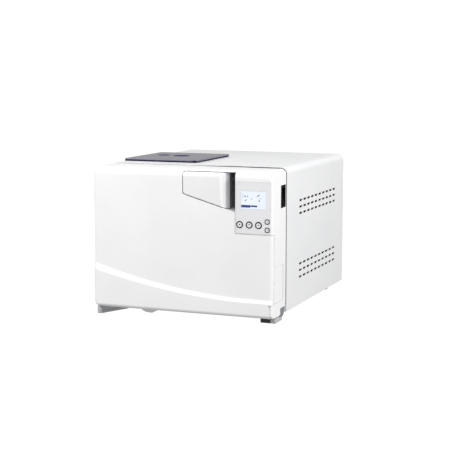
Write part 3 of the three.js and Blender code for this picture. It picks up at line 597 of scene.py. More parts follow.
@dataclass(frozen=True)
class Finish:
    """A surface finish, made only of noise and shader settings."""

    name: str
    slot: Slot
    colour: str
    shade: str
    roughness: Point
    metallic: float = 0.0
    mottle: float = 9.0
    relief: float = 900.0
    depth: float = 0.00004
    grain: Grain = Grain.EVEN
    coat: float = 0.0
    sheen: float = 0.0
    glow: float = 0.0
    wear: float = 0.0
    specular: float = 0.5

    def material(self) -> bpy.types.Material:
        """Makes the finish as a material, once.

        Returns:
            The material, which later calls share.
        """
        known = bpy.data.materials.get(self.name)
        if known is not None:
            return known
        made = bpy.data.materials.new(self.name)
        made.use_nodes = True
        tree = made.node_tree
        shader = next(n for n in tree.nodes if n.type == "BSDF_PRINCIPLED")
        shader.inputs["Metallic"].default_value = self.metallic
        shader.inputs["Coat Weight"].default_value = self.coat
        shader.inputs["Coat Roughness"].default_value = 0.12
        shader.inputs["Sheen Weight"].default_value = self.sheen
        shader.inputs["Specular IOR Level"].default_value = self.specular
        if self.glow:
            shader.inputs["Emission Color"].default_value = (*linear(self.colour), 1.0)
            shader.inputs["Emission Strength"].default_value = self.glow
        place = tree.nodes.new("ShaderNodeTexCoord")
        drift = self._noise(tree, place.outputs["Object"], self.mottle, 4.0)
        stretched = tree.nodes.new("ShaderNodeMapping")
        stretched.inputs["Scale"].default_value = self.grain.value
        tree.links.new(place.outputs["Object"], stretched.inputs["Vector"])
        fine = self._noise(tree, stretched.outputs["Vector"], self.relief, 3.0)
        tree.links.new(self._blended(tree, drift), shader.inputs["Base Color"])
        gloss = self._spread(tree, fine if self.grain is not Grain.EVEN else drift, self.roughness)
        tree.links.new(gloss, shader.inputs["Roughness"])
        bump = tree.nodes.new("ShaderNodeBump")
        bump.inputs["Strength"].default_value = 1.0
        bump.inputs["Distance"].default_value = self.depth
        tree.links.new(fine, bump.inputs["Height"])
        tree.links.new(bump.outputs["Normal"], shader.inputs["Normal"])
        return made

    def _noise(
        self, tree: bpy.types.NodeTree, where: bpy.types.NodeSocket, scale: float, detail: float
    ) -> bpy.types.NodeSocket:
        """Adds a noise texture and gives its value.

        Args:
            tree: the material's nodes.
            where: the place that the noise is read at.
            scale: how fine it is.
            detail: how many layers it has.

        Returns:
            The socket of its value.
        """
        noise = tree.nodes.new("ShaderNodeTexNoise")
        noise.inputs["Scale"].default_value = scale
        noise.inputs["Detail"].default_value = detail
        noise.inputs["Roughness"].default_value = 0.55
        tree.links.new(where, noise.inputs["Vector"])
        return noise.outputs["Fac"]

    def _spread(
        self, tree: bpy.types.NodeTree, noise: bpy.types.NodeSocket, span: Point
    ) -> bpy.types.NodeSocket:
        """Stretches a noise's usual range over another one.

        Args:
            tree: the material's nodes.
            noise: the noise's value.
            span: the range that it is stretched over.

        Returns:
            The socket of the result.
        """
        stretched = tree.nodes.new("ShaderNodeMapRange")
        stretched.inputs["From Min"].default_value = NOISE_RANGE[0]
        stretched.inputs["From Max"].default_value = NOISE_RANGE[1]
        stretched.inputs["To Min"].default_value = span[0]
        stretched.inputs["To Max"].default_value = span[1]
        tree.links.new(noise, stretched.inputs["Value"])
        return stretched.outputs["Result"]

    def _blended(self, tree: bpy.types.NodeTree, drift: bpy.types.NodeSocket) -> bpy.types.NodeSocket:
        """Mixes the finish's two colours by noise, and its lighter wear along edges.

        Args:
            tree: the material's nodes.
            drift: the slow noise that mixes the colours.

        Returns:
            The socket of the colour.
        """
        mix = tree.nodes.new("ShaderNodeMix")
        mix.data_type = "RGBA"
        mix.inputs[6].default_value = (*linear(self.shade), 1.0)
        mix.inputs[7].default_value = (*linear(self.colour), 1.0)
        tree.links.new(self._spread(tree, drift, (0.0, 1.0)), mix.inputs[0])
        if not self.wear:
            return mix.outputs[2]
        edge = tree.nodes.new("ShaderNodeNewGeometry")
        rubbed = tree.nodes.new("ShaderNodeMapRange")
        rubbed.inputs["From Min"].default_value = 0.52
        rubbed.inputs["From Max"].default_value = 0.62
        rubbed.inputs["To Max"].default_value = self.wear
        tree.links.new(edge.outputs["Pointiness"], rubbed.inputs["Value"])
        worn = tree.nodes.new("ShaderNodeMix")
        worn.data_type = "RGBA"
        worn.inputs[7].default_value = (0.8, 0.8, 0.8, 1.0)
        tree.links.new(rubbed.outputs["Result"], worn.inputs[0])
        tree.links.new(mix.outputs[2], worn.inputs[6])
        return worn.outputs[2]


PAINT = Finish(
    "casing_powder_coat", Slot.CASING, "f0f0f1", "ecedee", (0.40, 0.48), relief=1500, depth=0.00006,
)
MOULDING = Finish(
    "white_satin_moulding", Slot.MOULDING, "fafafa", "f6f6f7", (0.34, 0.42), relief=2600, depth=0.00002,
)
GRIP = Finish(
    "handle_moulding", Slot.MOULDING, "f4f4f5", "efeff0", (0.36, 0.44), relief=2600, depth=0.00003,
)
PANEL = Finish(
    "fascia_film", Slot.FASCIA, "eeeef0", "eaeaec", (0.42, 0.52), relief=3200, depth=0.00003,
)
BLACK = Finish(
    "black_moulding", Slot.BLACK, "060607", "040405", (0.55, 0.7), relief=2200, depth=0.00004,
    specular=0.12,
)
# Mid grey that paints the half shade where the handle's right end turns into the finger gap.
HANDLE_EDGE_SHADE = Finish(
    "handle_edge_painted_shade", Slot.FASCIA, "cfcfd3", "c6c6ca", (0.6, 0.72), relief=1800, depth=0.00004,
    specular=0.2,
)
# Dark grey that paints the shadow in the seam between the casing and the door and column.
SEAM_SHADE = Finish(
    "seam_painted_shade", Slot.RUBBER, "3b3b42", "33333a", (0.8, 0.9), relief=1800, depth=0.00004, specular=0.1,
)
# Dark grey that paints the shade inside the handle's finger gap and on the recess floor.
RECESS_SHADE = Finish(
    "recess_painted_shade", Slot.FASCIA, "606066", "56565c", (0.7, 0.85), relief=1800, depth=0.00004,
    specular=0.2,
)
INK = Finish(
    "printed_ink", Slot.BLACK, "27282d", "1f2025", (0.55, 0.7), relief=3000, depth=0.00001,
    specular=0.2,
)
DISPLAY = Finish(
    "lit_display", Slot.DISPLAY, "eaf1fa", "e3ecf8", (0.08, 0.14), mottle=30, relief=60, depth=0.000002,
    coat=0.4, glow=0.16,
)
DISPLAY_BAR = Finish(
    "display_blue", Slot.DISPLAY, "3c4d92", "2c3a74", (0.2, 0.3), mottle=240, relief=900,
    depth=0.000005, glow=0.08,
)
DISPLAY_MARK = Finish(
    "display_grey", Slot.DISPLAY, "5f6f78", "74848c", (0.3, 0.4), mottle=400, relief=900,
    depth=0.000005,
)
SMOKED = Finish(
    "smoked_lid", Slot.SMOKED, "6d6a7c", "625f72", (0.10, 0.18), mottle=7, relief=300, depth=0.00001,
    coat=0.3, specular=0.4,
)
SMOKED_EDGE = Finish(
    "smoked_lid_edge", Slot.INDIGO, "1d1838", "16122c", (0.4, 0.5), relief=400, depth=0.00001,
    specular=0.08,
)
INDIGO = Finish(
    "indigo_cap", Slot.INDIGO, "262060", "1d184f", (0.5, 0.62), relief=1200, depth=0.00003,
    specular=0.03,
)
STEEL = Finish(
    "satin_stainless", Slot.STAINLESS, "c6c8ca", "b7babd", (0.22, 0.34), 1.0, relief=700, depth=0.00002,
    grain=Grain.BRUSHED_X, wear=0.3,
)
TURNED_STEEL = Finish(
    "polished_stainless", Slot.STAINLESS, "cfd1d3", "bfc2c5", (0.12, 0.22), 1.0, relief=500,
    depth=0.00001, grain=Grain.BRUSHED_Y, wear=0.3,
)
ZINC = Finish(
    "zinc_plated_steel", Slot.ZINC, "b3b7ba", "9da2a6", (0.34, 0.5), 1.0, mottle=60, relief=900,
    depth=0.00004, wear=0.3,
)
BRACKET = Finish(
    "grey_bracket_steel", Slot.ZINC, "8f9196", "84868b", (0.5, 0.62), 0.2, relief=900, depth=0.00005,
)
ALUMINIUM = Finish(
    "aluminium", Slot.ALUMINIUM, "c6c9cc", "b6babe", (0.28, 0.4), 1.0, relief=800, depth=0.00003,
    grain=Grain.BRUSHED_Z, wear=0.3,
)
CAST = Finish(
    "cast_housing", Slot.CAST, "8a9096", "7b8187", (0.5, 0.65), 0.4, mottle=30, relief=420,
    depth=0.00018, wear=0.2,
)
BRASS = Finish(
    "brass", Slot.BRASS, "c3a25c", "ad8c48", (0.24, 0.38), 1.0, mottle=50, relief=700, depth=0.00003,
    wear=0.3,
)
SILICONE = Finish(
    "silicone", Slot.SILICONE, "d8dbdc", "ccd0d1", (0.48, 0.6), relief=1100, depth=0.00004, sheen=0.2,
)
WOOL = Finish(
    "insulation_wool", Slot.INSULATION, "cdc8ba", "b7b1a1", (0.9, 1.0), mottle=50, relief=500,
    depth=0.0006, sheen=0.3,
)
TANK = Finish(
    "tank_polyethylene", Slot.TANK, "e6eaeb", "dde2e4", (0.36, 0.46), mottle=14, relief=900,
    depth=0.00005, sheen=0.1,
)
RUBBER = Finish(
    "rubber", Slot.RUBBER, "1d1d1f", "161618", (0.75, 0.9), relief=1300, depth=0.00008,
)
# Flat black that paints the shade seen through the vent slots.
VENT_SHADE = Finish(
    "vent_painted_shade", Slot.RUBBER, "050506", "020203", (0.95, 1.0), mottle=300, relief=900, depth=0.0003,
    specular=0.0,
)
LIGHT_RUBBER = Finish(
    "grey_foot_rubber", Slot.RUBBER, "c4c5c8", "babbbe", (0.6, 0.75), relief=1300, depth=0.00006,
)
CONDENSER = Finish(
    "condenser_fins", Slot.ALUMINIUM, "b9bec3", "a8adb3", (0.3, 0.45), 1.0, relief=900, depth=0.0001,
    grain=Grain.BRUSHED_Y,
)


def place(
    solid: Solid, name: str, finish: Finish, body: Body | str, nodes: Sequence[str] = ()
) -> bpy.types.Object:
    """Puts a finished solid in the scene as a piece.

    Args:
        solid: the shape, in millimetres.
        name: the piece's name.
        finish: what its surface is.
        body: the frame body that it moves with.
        nodes: the frame nodes that it stands for.

    Returns:
        The piece.
    """
    mesh = solid.mesh.copy()
    mesh.name = name
    mesh.transform(Matrix.Scale(MM, 4))
    mesh.materials.clear()
    mesh.materials.append(finish.material())
    for polygon in mesh.polygons:
        polygon.material_index = 0
    mesh.shade_smooth()
    mesh.set_sharp_from_angle(angle=math.radians(SMOOTH_DEGREES))
    piece = bpy.data.objects.new(name, mesh)
    bpy.context.scene.collection.objects.link(piece)
    weighted = piece.modifiers.new("even_shading", "WEIGHTED_NORMAL")
    weighted.keep_sharp = True
    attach(piece, body.value if isinstance(body, Body) else body)
    if nodes:
        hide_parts(*nodes)
    LOG.info("%s: %d faces, on %s", name, len(mesh.polygons), body)
    return piece


# ---------------------------------------------------------------- door
@dataclass
class FrontForm:
    """The outer form of a deep moulded front piece, skinned from left to right."""

    x: Point
    seam: float
    z: Point
    face: float
    front: float
    left: float
    right: float
    upper_left: float = 0.0
    upper_right: float = 0.0
    lower_left: float = 0.0
    hinge: float = 0.0
    upper: float = 18.0
    lower: float = 10.0
    crest: Callable[[float], Point] | None = None
    soft: float = 2.5

    def stations(self) -> list[float]:
        """Where the sections stand, close together at the round ends.

        Returns:
            The sections' places along x.
        """
        width = max(self.left, self.lower_left, self.hinge, self.upper_left, 0.01)
        closing = max(self.right, self.upper_right, 0.01)
        turns = quarter(8)
        start = [self.x[0] + width * (1 - math.cos(a)) for a in turns]
        end = [self.x[1] - closing * (1 - math.cos(a)) for a in reversed(turns)]
        count = max(2, round((end[0] - start[-1]) / 14))
        middle = [start[-1] + (end[0] - start[-1]) * k / count for k in range(1, count)]
        return start + middle + end

    def section(self, x: float) -> list[Vector]:
        """The closed section at x, from the seam's lower edge round the front to its upper edge.

        Args:
            x: where the section is.

        Returns:
            Its points.
        """
        near, far = x - self.x[0], self.x[1] - x
        back = arc_drop(near, self.left) + arc_drop(far, self.right)
        top = self.z[1] - arc_drop(near, self.upper_left) - arc_drop(far, self.upper_right)
        bottom = self.z[0] + arc_drop(near, self.lower_left)
        seam = self.seam - arc_drop(near, self.hinge)
        face = self.face + back
        low_face = (self.front if self.crest else self.face) + back
        points: list[Point] = [(seam, bottom)]
        for a in quarter(6):
            inward, up = self.lower * (1 - math.sin(a)), self.lower * (1 - math.cos(a))
            points.append((low_face + inward, bottom + up))
        if self.crest:
            low, high = self.crest(x)
            under, over = (low_face, low), (face, high)
            points += eased((low_face, low - 9), under, over, self.soft)
            points += eased(under, over, (face, high + 9), self.soft)
        for a in quarter(8):
            points.append((face + self.upper * (1 - math.cos(a)), top - self.upper * (1 - math.sin(a))))
        points.append((seam, top))
        return [Vector((x, y, z)) for y, z in points]

    def solid(self) -> Solid:
        """The whole outer form."""
        return Solid.rings([self.section(x) for x in self.stations()])


@dataclass
class Door:
    """The moulded door with its apron, liner, pressure plate and gasket."""

    bottom: float = 21.0
    top_step: float = 1.0
    wall: float = 3.0
    apron: float = 5.0
    column_left: float = 148.0
    skin_top: float = 232.0
    skin_depth: float = 14.0
    block_left: float = 239.5
    block_top: float = 56.3
    hinge: Point = (-235.5, -213.0)
    hinge_heights: Point = (96.0, 306.0)
    recess_left: float = 4.6
    recess_top: float = 386.0
    recess_depth: float = 42.0
    recess_foot: float = 326.5
    level_x: float = 210.0
    crest_reach: float = 456.0
    crest_low: Point = (60.5, 61.5)
    crest_high: Point = (67.5, 71.0)

    def crest(self, x: float) -> Point:
        """The heights at x where the apron's upper bevel leaves the apron and where it meets the face.

        Args:
            x: the place across the door.

        Returns:
            The two heights.
        """
        share = max(0.0, (self.level_x - x) / self.crest_reach) ** 2
        return self.crest_low[0] + self.crest_low[1] * share, self.crest_high[0] + self.crest_high[1] * share

    def recess_outline(self, grow: float = 0.0) -> list[Point]:
        """The handle recess seen from the front, grown all round.

        Args:
            grow: how far it is grown.

        Returns:
            The outline's points.
        """
        right = self.column_left + 8
        foot = self.recess_foot - grow
        left = self.recess_left - grow
        corners = [
            (left, self.recess_top + grow, 7 + grow), (left, foot, 9 + grow),
            (right, foot + RECESS_SLOPE * (right - self.recess_left)), (right, self.recess_top + grow),
        ]
        return rounded(corners, 8)

    def cover(self) -> Solid:
        """The moulded cover: its outer form less the console's room, the recess and the hollow behind.

        Returns:
            The cover.
        """
        box = Box.of("door_cover")
        face = box.y[0] + self.apron
        seam = box.y[1]
        z = (self.bottom, box.z[1] - self.top_step)
        outer = FrontForm(
            box.x, seam, z, face, box.y[0], left=8, right=6, upper_left=6, lower_left=13, hinge=12,
            crest=self.crest,
        ).solid()
        recess = Solid.prism(
            Axis.Y, self.recess_outline(), (box.y[0] - CLEAR, face + self.recess_depth), soft=4, soft_start=0
        )
        rimmed = outer.cut(recess).eased(1.6, 60, 3)
        outside = rimmed.cut(*self.console_room(box, face)).eased(0.35, 60, 1)
        return outside.cut(*self.hollows(box, face, z), *self.fixings(box)).join(self.bump())

    def console_room(self, box: Box, face: float) -> list[Solid]:
        """The tools that make room for the console, above and behind the cover's thin skin.

        Args:
            box: the limits of the cover.
            face: where the door's face is.

        Returns:
            The tools.
        """
        past = box.x[1] + 20
        depth = (box.y[0] - CLEAR, box.y[1] + CLEAR)
        return [
            Solid.block((self.column_left, past), depth, (self.skin_top, ABOVE)),
            Solid.block((self.column_left, past), (face + self.skin_depth, depth[1]), (0, 300)),
            Solid.block((self.block_left, past), (depth[0], box.y[1]), (0, self.block_top)),
        ]

    def hollows(self, box: Box, face: float, z: Point) -> list[Solid]:
        """The hollow behind the face, clear of the recess's tub, and the one in the skin.

        Args:
            box: the limits of the cover.
            face: where the door's face is.
            z: the cover's lowest and highest points.

        Returns:
            The tools.
        """
        inside = face + self.wall
        cavity = Solid.block(
            (box.x[0] + 9, self.column_left - self.wall), (inside, box.y[1] + 5),
            (z[0] + self.wall, z[1] - 13), radius=4,
        )
        tub_depth = (face - 2, face + self.recess_depth + self.wall)
        tub = Solid.prism(Axis.Y, self.recess_outline(self.wall), tub_depth)
        skin = Solid.block(
            (self.column_left + self.wall, self.block_left - 3), (inside, face + self.skin_depth + 2),
            (z[0] + self.wall, self.skin_top - self.wall), radius=1,
        )
        return [cavity.cut(tub), skin]

    def fixings(self, box: Box) -> list[Solid]:
        """The slots for the hinge knuckles and the holes for the lock bolts.

        Args:
            box: the limits of the cover.

        Returns:
            The tools.
        """
        x, y = (box.x[0] - 5, self.hinge[0] + 12), (self.hinge[1] - 15, box.y[1] + 2)
        knuckles = [Solid.block(x, y, (z - 14, z + 14)) for z in self.hinge_heights]
        wall = (self.column_left - 6, self.column_left + 2)
        bolts = [Solid.rod(Axis.X, BOLT_Y, z, 5.8, wall) for z in BOLT_HEIGHTS]
        return knuckles + bolts

    def bump(self) -> Solid:
        """The dished bump that hangs under the door.

        Returns:
            The bump.
        """
        floor = self.bottom + 1.5
        dish = rounded([
            (-129, floor), (-123, 13.7, 6), (-111.4, 8.7, 6), (-94, 7.6, 4), (-87, 11.5, 5), (-82.5, 16, 3),
            (-79, floor),
        ], 5)
        return Solid.prism(Axis.Y, dish, (-281.0, -239.0), soft=0.8)

    def recess_shade_sheet(self) -> Solid:
        """A dark sheet on the recess's floor, painted shade for the deep finger gap.

        Returns:
            The sheet of painted shade.
        """
        floor = Box.of("door_cover").y[0] + self.apron + self.recess_depth
        sheet = Solid.prism(Axis.Y, self.recess_outline(-1.0), (floor - 1.2, floor - 0.2))
        end = (self.column_left - 0.6, self.column_left + 40)
        return sheet.cut(Solid.block(end, (floor - 5, floor + 5), (200, ABOVE)))

    def liner(self) -> Solid:
        """The pressed sheet that closes the back of the door.

        Returns:
            The sheet.
        """
        box = Box.of("door_liner")
        plate_depth = (box.y[1] - 1.6, box.y[0])
        plate = Solid.prism(Axis.Y, rectangle(box.x, box.z, 5), plate_depth, soft=1.0, soft_start=0.4)
        rib = Solid.prism(
            Axis.Y, self.inset(box, 9, 8), (box.y[1], box.y[1] - 2.6), soft=0, soft_start=0.9
        )
        inner = Solid.prism(Axis.Y, self.inset(box, 15, 5), (box.y[1] + 2, box.y[1] - 1.2))
        mouth = Solid.rod(Axis.Y, *CHAMBER, 149, (box.y[0] - 5, box.y[1] + 5))
        return plate.join(rib).cut(inner, mouth).eased(0.3, 60, 1)

    def inset(self, box: Box, edge: float, radius: float) -> list[Point]:
        """A box's outline from the front, set in by an edge all round."""
        return rectangle((box.x[0] + edge, box.x[1] - edge), (box.z[0] + edge, box.z[1] - edge), radius)

    def pressure_plate(self) -> Solid:
        """The dished plate that carries the chamber's pressure, with its stiffening rim.

        Returns:
            The plate.
        """
        box = Box.of("pressure_door")
        back, rear = box.y
        profile = rounded([
            (0, rear - 2), (112, rear - 2, 4), (118, rear, 2), (146, rear, 2), (146, rear - 11, 2),
            (138, rear - 11, 3), (118, back + 9, 8), (40, back, 14), (0, back),
        ], 6)
        return Solid.turned(Axis.Y, *CHAMBER, profile, 96)

    def gasket(self) -> Solid:
        """The lipped silicone seal.

        Returns:
            The seal.
        """
        box = Box.of("door_gasket")
        inner = 128.4
        outer = box.x[1] - CHAMBER[0]
        y0, y1 = box.y
        profile = rounded([
            (inner, y0, 1), (outer, y0, 1), (outer, y1 - 3.5, 1.2), (inner + 7, y1, 1.2),
            (inner + 4.4, y1 - 1.2, 0.6), (inner, y1 - 3, 1),
        ], 4)
        return Solid.turned(Axis.Y, *CHAMBER, profile, 96)

    def build(self) -> None:
        """Builds and places the door's pieces."""
        place(self.cover(), "door_cover_moulding", MOULDING, Body.DOOR, ["door_cover"])
        # The recess floor's dark sheet is painted shade.
        place(self.recess_shade_sheet(), "handle_recess_painted_shade", RECESS_SHADE, Body.DOOR)
        place(self.liner(), "door_liner_sheet", STEEL, Body.DOOR, ["door_liner"])
        place(self.pressure_plate(), "door_pressure_plate", TURNED_STEEL, Body.DOOR, ["pressure_door"])
        place(self.gasket(), "door_seal", SILICONE, Body.DOOR, ["door_gasket"])


@dataclass
class Handle:
    """The lever handle that hooks round the door's right edge."""

    face: float = -307.0
    thick: float = 15.0
    grip: float = 16.0
    foot: float = 328.3
    top_gap: float = 3.4
    pin: Point = (12.0, -300.0)
    pin_radius: float = 1.45

    def build(self) -> None:
        """Builds and places the handle with its pin, and two bands on its right end that paint the finger
        gap's shade.
        """
        box = Box.of("door_handle")
        left, right = box.x
        top = box.z[1] - self.top_gap
        foot = self.foot
        seen = rounded([
            (left, top, 5), (left, foot, 8), (right, foot + RECESS_SLOPE * (right - left), 3),
            (right, top, 3),
        ], 8)
        back = box.y[1]
        body = Solid.prism(Axis.Y, seen, (self.face, back), soft=0.5, soft_start=3.2)
        plan = rounded([
            (left - 2, self.face), (right, self.face, 26), (right, back + 2), (right - self.grip, back + 2),
            (right - self.grip, self.face + self.thick, 5), (left - 2, self.face + self.thick),
        ], 12)
        level = Solid.prism(Axis.Z, plan, (foot - 60, top + 20))
        rear = back + 3
        side = rounded([(self.face, foot - 60), (self.face, top, 13), (rear, top), (rear, foot - 60)], 10)
        shaped = body.common(level, Solid.prism(Axis.X, side, (left - 5, right + 5))).eased(0.8, 60)
        rod = Solid.rod(Axis.Z, *self.pin, self.pin_radius, (foot - 6, top + 2.6))
        # Bands on the handle's right end that carry painted shade: mid grey near the front, dark further
        # back.
        shade_bands = [
            Solid.block((right - 14, right + 1), y, (foot - 90, top + 20))
            for y in ((self.face + 7, self.face + 18), (self.face + 18, back + 5))
        ]
        place(shaped.cut(*shade_bands).join(rod), "handle_lever_moulding", GRIP, Body.HANDLE, ["door_handle"])
        place(shaped.common(shade_bands[0]), "handle_edge_painted_shade", HANDLE_EDGE_SHADE, Body.HANDLE)
        place(shaped.common(shade_bands[1]), "handle_back_painted_shade", RECESS_SHADE, Body.HANDLE)


# ---------------------------------------------------------------- cabinet
@dataclass
class Casing:
    """The folded steel cover with its vents, and the panels that close it."""

    sheet: float = 2.0
    bend: float = 16.0
    vent_rows: tuple[float, ...] = (298.0, 281.0, 264.0, 129.4, 112.0, 94.0)
    vent_first: float = -82.0
    vent_pitch: float = 33.4
    vent_count: int = 10
    vent_size: Point = (24.0, 6.0)
    shade_strip_left: float = -237.0
    shade_strip_rise: Point = (-45.0, 95.0)
    seam_room: float = 2.0

    def vents(self, x: Point) -> Solid:
        """Every vent slot as one cutting tool that passes through both sides.

        Args:
            x: where the tool starts and ends.

        Returns:
            The tool.
        """
        long, tall = self.vent_size
        tools = []
        for z in self.vent_rows:
            for i in range(self.vent_count):
                y = self.vent_first + i * self.vent_pitch
                ends, sides = (y - long / 2, y + long / 2), (z - tall / 2, z + tall / 2)
                tools.append(Solid.prism(Axis.X, rectangle(ends, sides, tall / 2 - 0.01, 4), x))
        return together(tools)

    def wrap(self) -> Solid:
        """The cover: one sheet folded over the top and down both sides.

        Returns:
            The cover.
        """
        box = Box.of("casing_wrap")
        x, z = box.x, box.z
        inside = self.bend - self.sheet
        section = rounded([
            (x[0], z[0]), (x[0], z[1], self.bend), (x[1], z[1], self.bend), (x[1], z[0]),
            (x[1] - self.sheet, z[0]), (x[1] - self.sheet, z[1] - self.sheet, inside),
            (x[0] + self.sheet, z[1] - self.sheet, inside), (x[0] + self.sheet, z[0]),
        ], 12)
        sheet = Solid.prism(Axis.Y, section, (box.y[0] + self.seam_room, box.y[1])).eased(0.5, 60)
        lid = Box.of("tank_lid")
        well = Solid.block(
            (lid.x[0] + 6, lid.x[1] - 6), (lid.y[0] + 6, lid.y[1] - 14), (z[1] - CLEAR, z[1] + CLEAR),
            radius=5,
        )
        return sheet.cut(well, self.vents((x[0] - CLEAR, x[1] + CLEAR)))

    def panel(self, box: Box) -> list[Point]:
        """The outline of a panel that closes the cover's front or back."""
        return rounded([
            (box.x[0], box.z[0], 2), (box.x[1], box.z[0], 2), (box.x[1], box.z[1], 14),
            (box.x[0], box.z[1], 14),
        ], 8)

    def front_panel(self) -> Solid:
        """The plate round the chamber's mouth.

        Returns:
            The plate.
        """
        box = Box.of("front_frame")
        plate = Solid.prism(Axis.Y, self.panel(box), box.y, soft=0, soft_start=0.6)
        return plate.cut(Solid.rod(Axis.Y, *CHAMBER, 153, (box.y[0] - CLEAR, box.y[1] + CLEAR)))

    def rear_panel(self) -> Solid:
        """The back plate, with the openings for the fan, inlet, valve and drain.

        Returns:
            The plate.
        """
        box = Box.of("rear_panel")
        through = (box.y[0] - CLEAR, box.y[1] + CLEAR)
        fan = Box.of("fan_rotor").middle
        x, _, z = Box.of("power_inlet").middle
        plate = Solid.prism(Axis.Y, self.panel(box), box.y, soft=0.5, soft_start=0)
        holes = [
            Solid.rod(Axis.Y, fan[0], fan[2], 56, through),
            Solid.block((x - 14.4, x + 14.4), through, (z - 11.4, z + 11.4)),
        ]
        for node in ("safety_valve", "drain_outlet"):
            item = Box.of(node)
            x, _, z = item.middle
            holes.append(Solid.rod(Axis.Y, x, z, (item.x[1] - item.x[0]) / 2 - 2.2, through))
        return plate.cut(*holes)

    def fan_guard(self) -> Solid:
        """The wire guard over the fan: concentric rings on four spokes.

        Returns:
            The guard.
        """
        box = Box.of("rear_panel")
        x, _, z = Box.of("fan_rotor").middle
        y = box.y[1] + 1.6
        rings = []
        for k in range(6):
            path = [(x + a, y, z + b) for a, b in circle(0, 0, 10 + 9 * k, 48)]
            rings.append(Solid.swept(path, 1.1, 8, closed=True))
        for k in range(4):
            a = math.pi / 4 + k * math.pi / 2
            c, s = math.cos(a), math.sin(a)
            path = [(x + c * r, y + d, z + s * r) for r, d in ((8, 1.4), (55, 1.4), (64, 0.6), (68, 0.3))]
            rings.append(Solid.swept(path, 1.2, 8))
        return together(rings)

    def screws(self) -> Solid:
        """The pan-head screws round the back plate and the cover's rear hem.

        Returns:
            The screws.
        """
        box = Box.of("rear_panel")
        y = box.y[1]
        spots = [(x, z) for x in (box.x[0] + 9, 0, box.x[1] - 9) for z in (box.z[0] + 10, box.z[1] - 12)]
        spots += [(x, 205) for x in (box.x[0] + 9, box.x[1] - 9)]
        head = rounded([(0, y), (3.6, y), (3.6, y + 1.2, 0.8), (2.2, y + 2.3, 0.8), (0, y + 2.3)], 4)
        made = [Solid.turned(Axis.Y, x, z, head, 24) for x, z in spots]
        slots = [
            Solid.block((x - 1.9, x + 1.9), (y + 1.5, y + 3), (z - 0.35, z + 0.35)).beside(
                Solid.block((x - 0.35, x + 0.35), (y + 1.5, y + 3), (z - 1.9, z - 0.36)),
                Solid.block((x - 0.35, x + 0.35), (y + 1.5, y + 3), (z + 0.36, z + 1.9)))
            for x, z in spots
        ]
        return together(made).cut(together(slots))

    def vent_shades(self) -> Solid:
        """Black pads that stand behind the vent slots on both sides, painting the shade inside the vents.

        Returns:
            The pads.
        """
        first = self.vent_first - self.vent_size[0] / 2 - 3
        last = self.vent_first + (self.vent_count - 1) * self.vent_pitch + self.vent_size[0] / 2 + 3
        edge = Box.of("casing_wrap").x[1]
        pads = []
        for rows in (self.vent_rows[:3], self.vent_rows[3:]):
            z = (min(rows) - 6, max(rows) + 6)
            for x in ((edge - 4.2, edge - 2.2), (-edge + 2.2, -edge + 4.2)):
                pads.append(Solid.block(x, (first, last), z))
        return together(pads)

    def seam_painted_shade(self) -> Solid:
        """A dark strip in the seam between the casing and the door and column, painted shadow for the gap.

        Returns:
            The strip.
        """
        box = Box.of("casing_wrap")
        x, top = box.x[1] - 0.4, box.z[1]
        left = self.shade_strip_left
        outer = [
            (left, box.z[0] + 8), (left, top - 2.2), (self.shade_strip_rise[0], top - 2.2),
            (self.shade_strip_rise[1], top - 0.2), (x - 14, top - 0.2), (x - 6, top - 3.2), (x - 1.4, top - 9),
            (x, top - 15), (x, 39),
        ]
        inner = [
            (x - 6, 39), (x - 6, top - 20), (x - 20, top - 7), (left + 6, top - 7), (left + 6, box.z[0] + 8),
        ]
        front = box.y[0]
        strip = Solid.prism(Axis.Y, outer + inner, (front - 1.7, front + self.seam_room - 0.1))
        # The wider part paints the seam's shadow beside the column.
        wide = Solid.prism(Axis.Y, outer + inner, (front - 4.3, front))
        return strip.join(wide.common(Solid.block((150.4, 260), (-260, -150), (0, ABOVE))))

    def build(self) -> None:
        """Builds and places the casing's pieces."""
        # The black pads behind the vents paint the shade inside them.
        place(self.vent_shades(), "vent_shade_pads", VENT_SHADE, Body.CABINET)
        # The dark strip paints the shadow in the seam.
        place(self.seam_painted_shade(), "seam_painted_shade_strip", SEAM_SHADE, Body.CABINET)
        place(self.wrap(), "casing_cover", PAINT, Body.CABINET, ["casing_wrap"])
        place(self.front_panel(), "front_plate", PAINT, Body.CABINET, ["front_frame"])
        place(self.rear_panel(), "back_plate", PAINT, Body.CABINET, ["rear_panel"])
        place(self.fan_guard(), "fan_guard_wire", ZINC, Body.CABINET)
        place(self.screws(), "back_plate_screws", ZINC, Body.CABINET)


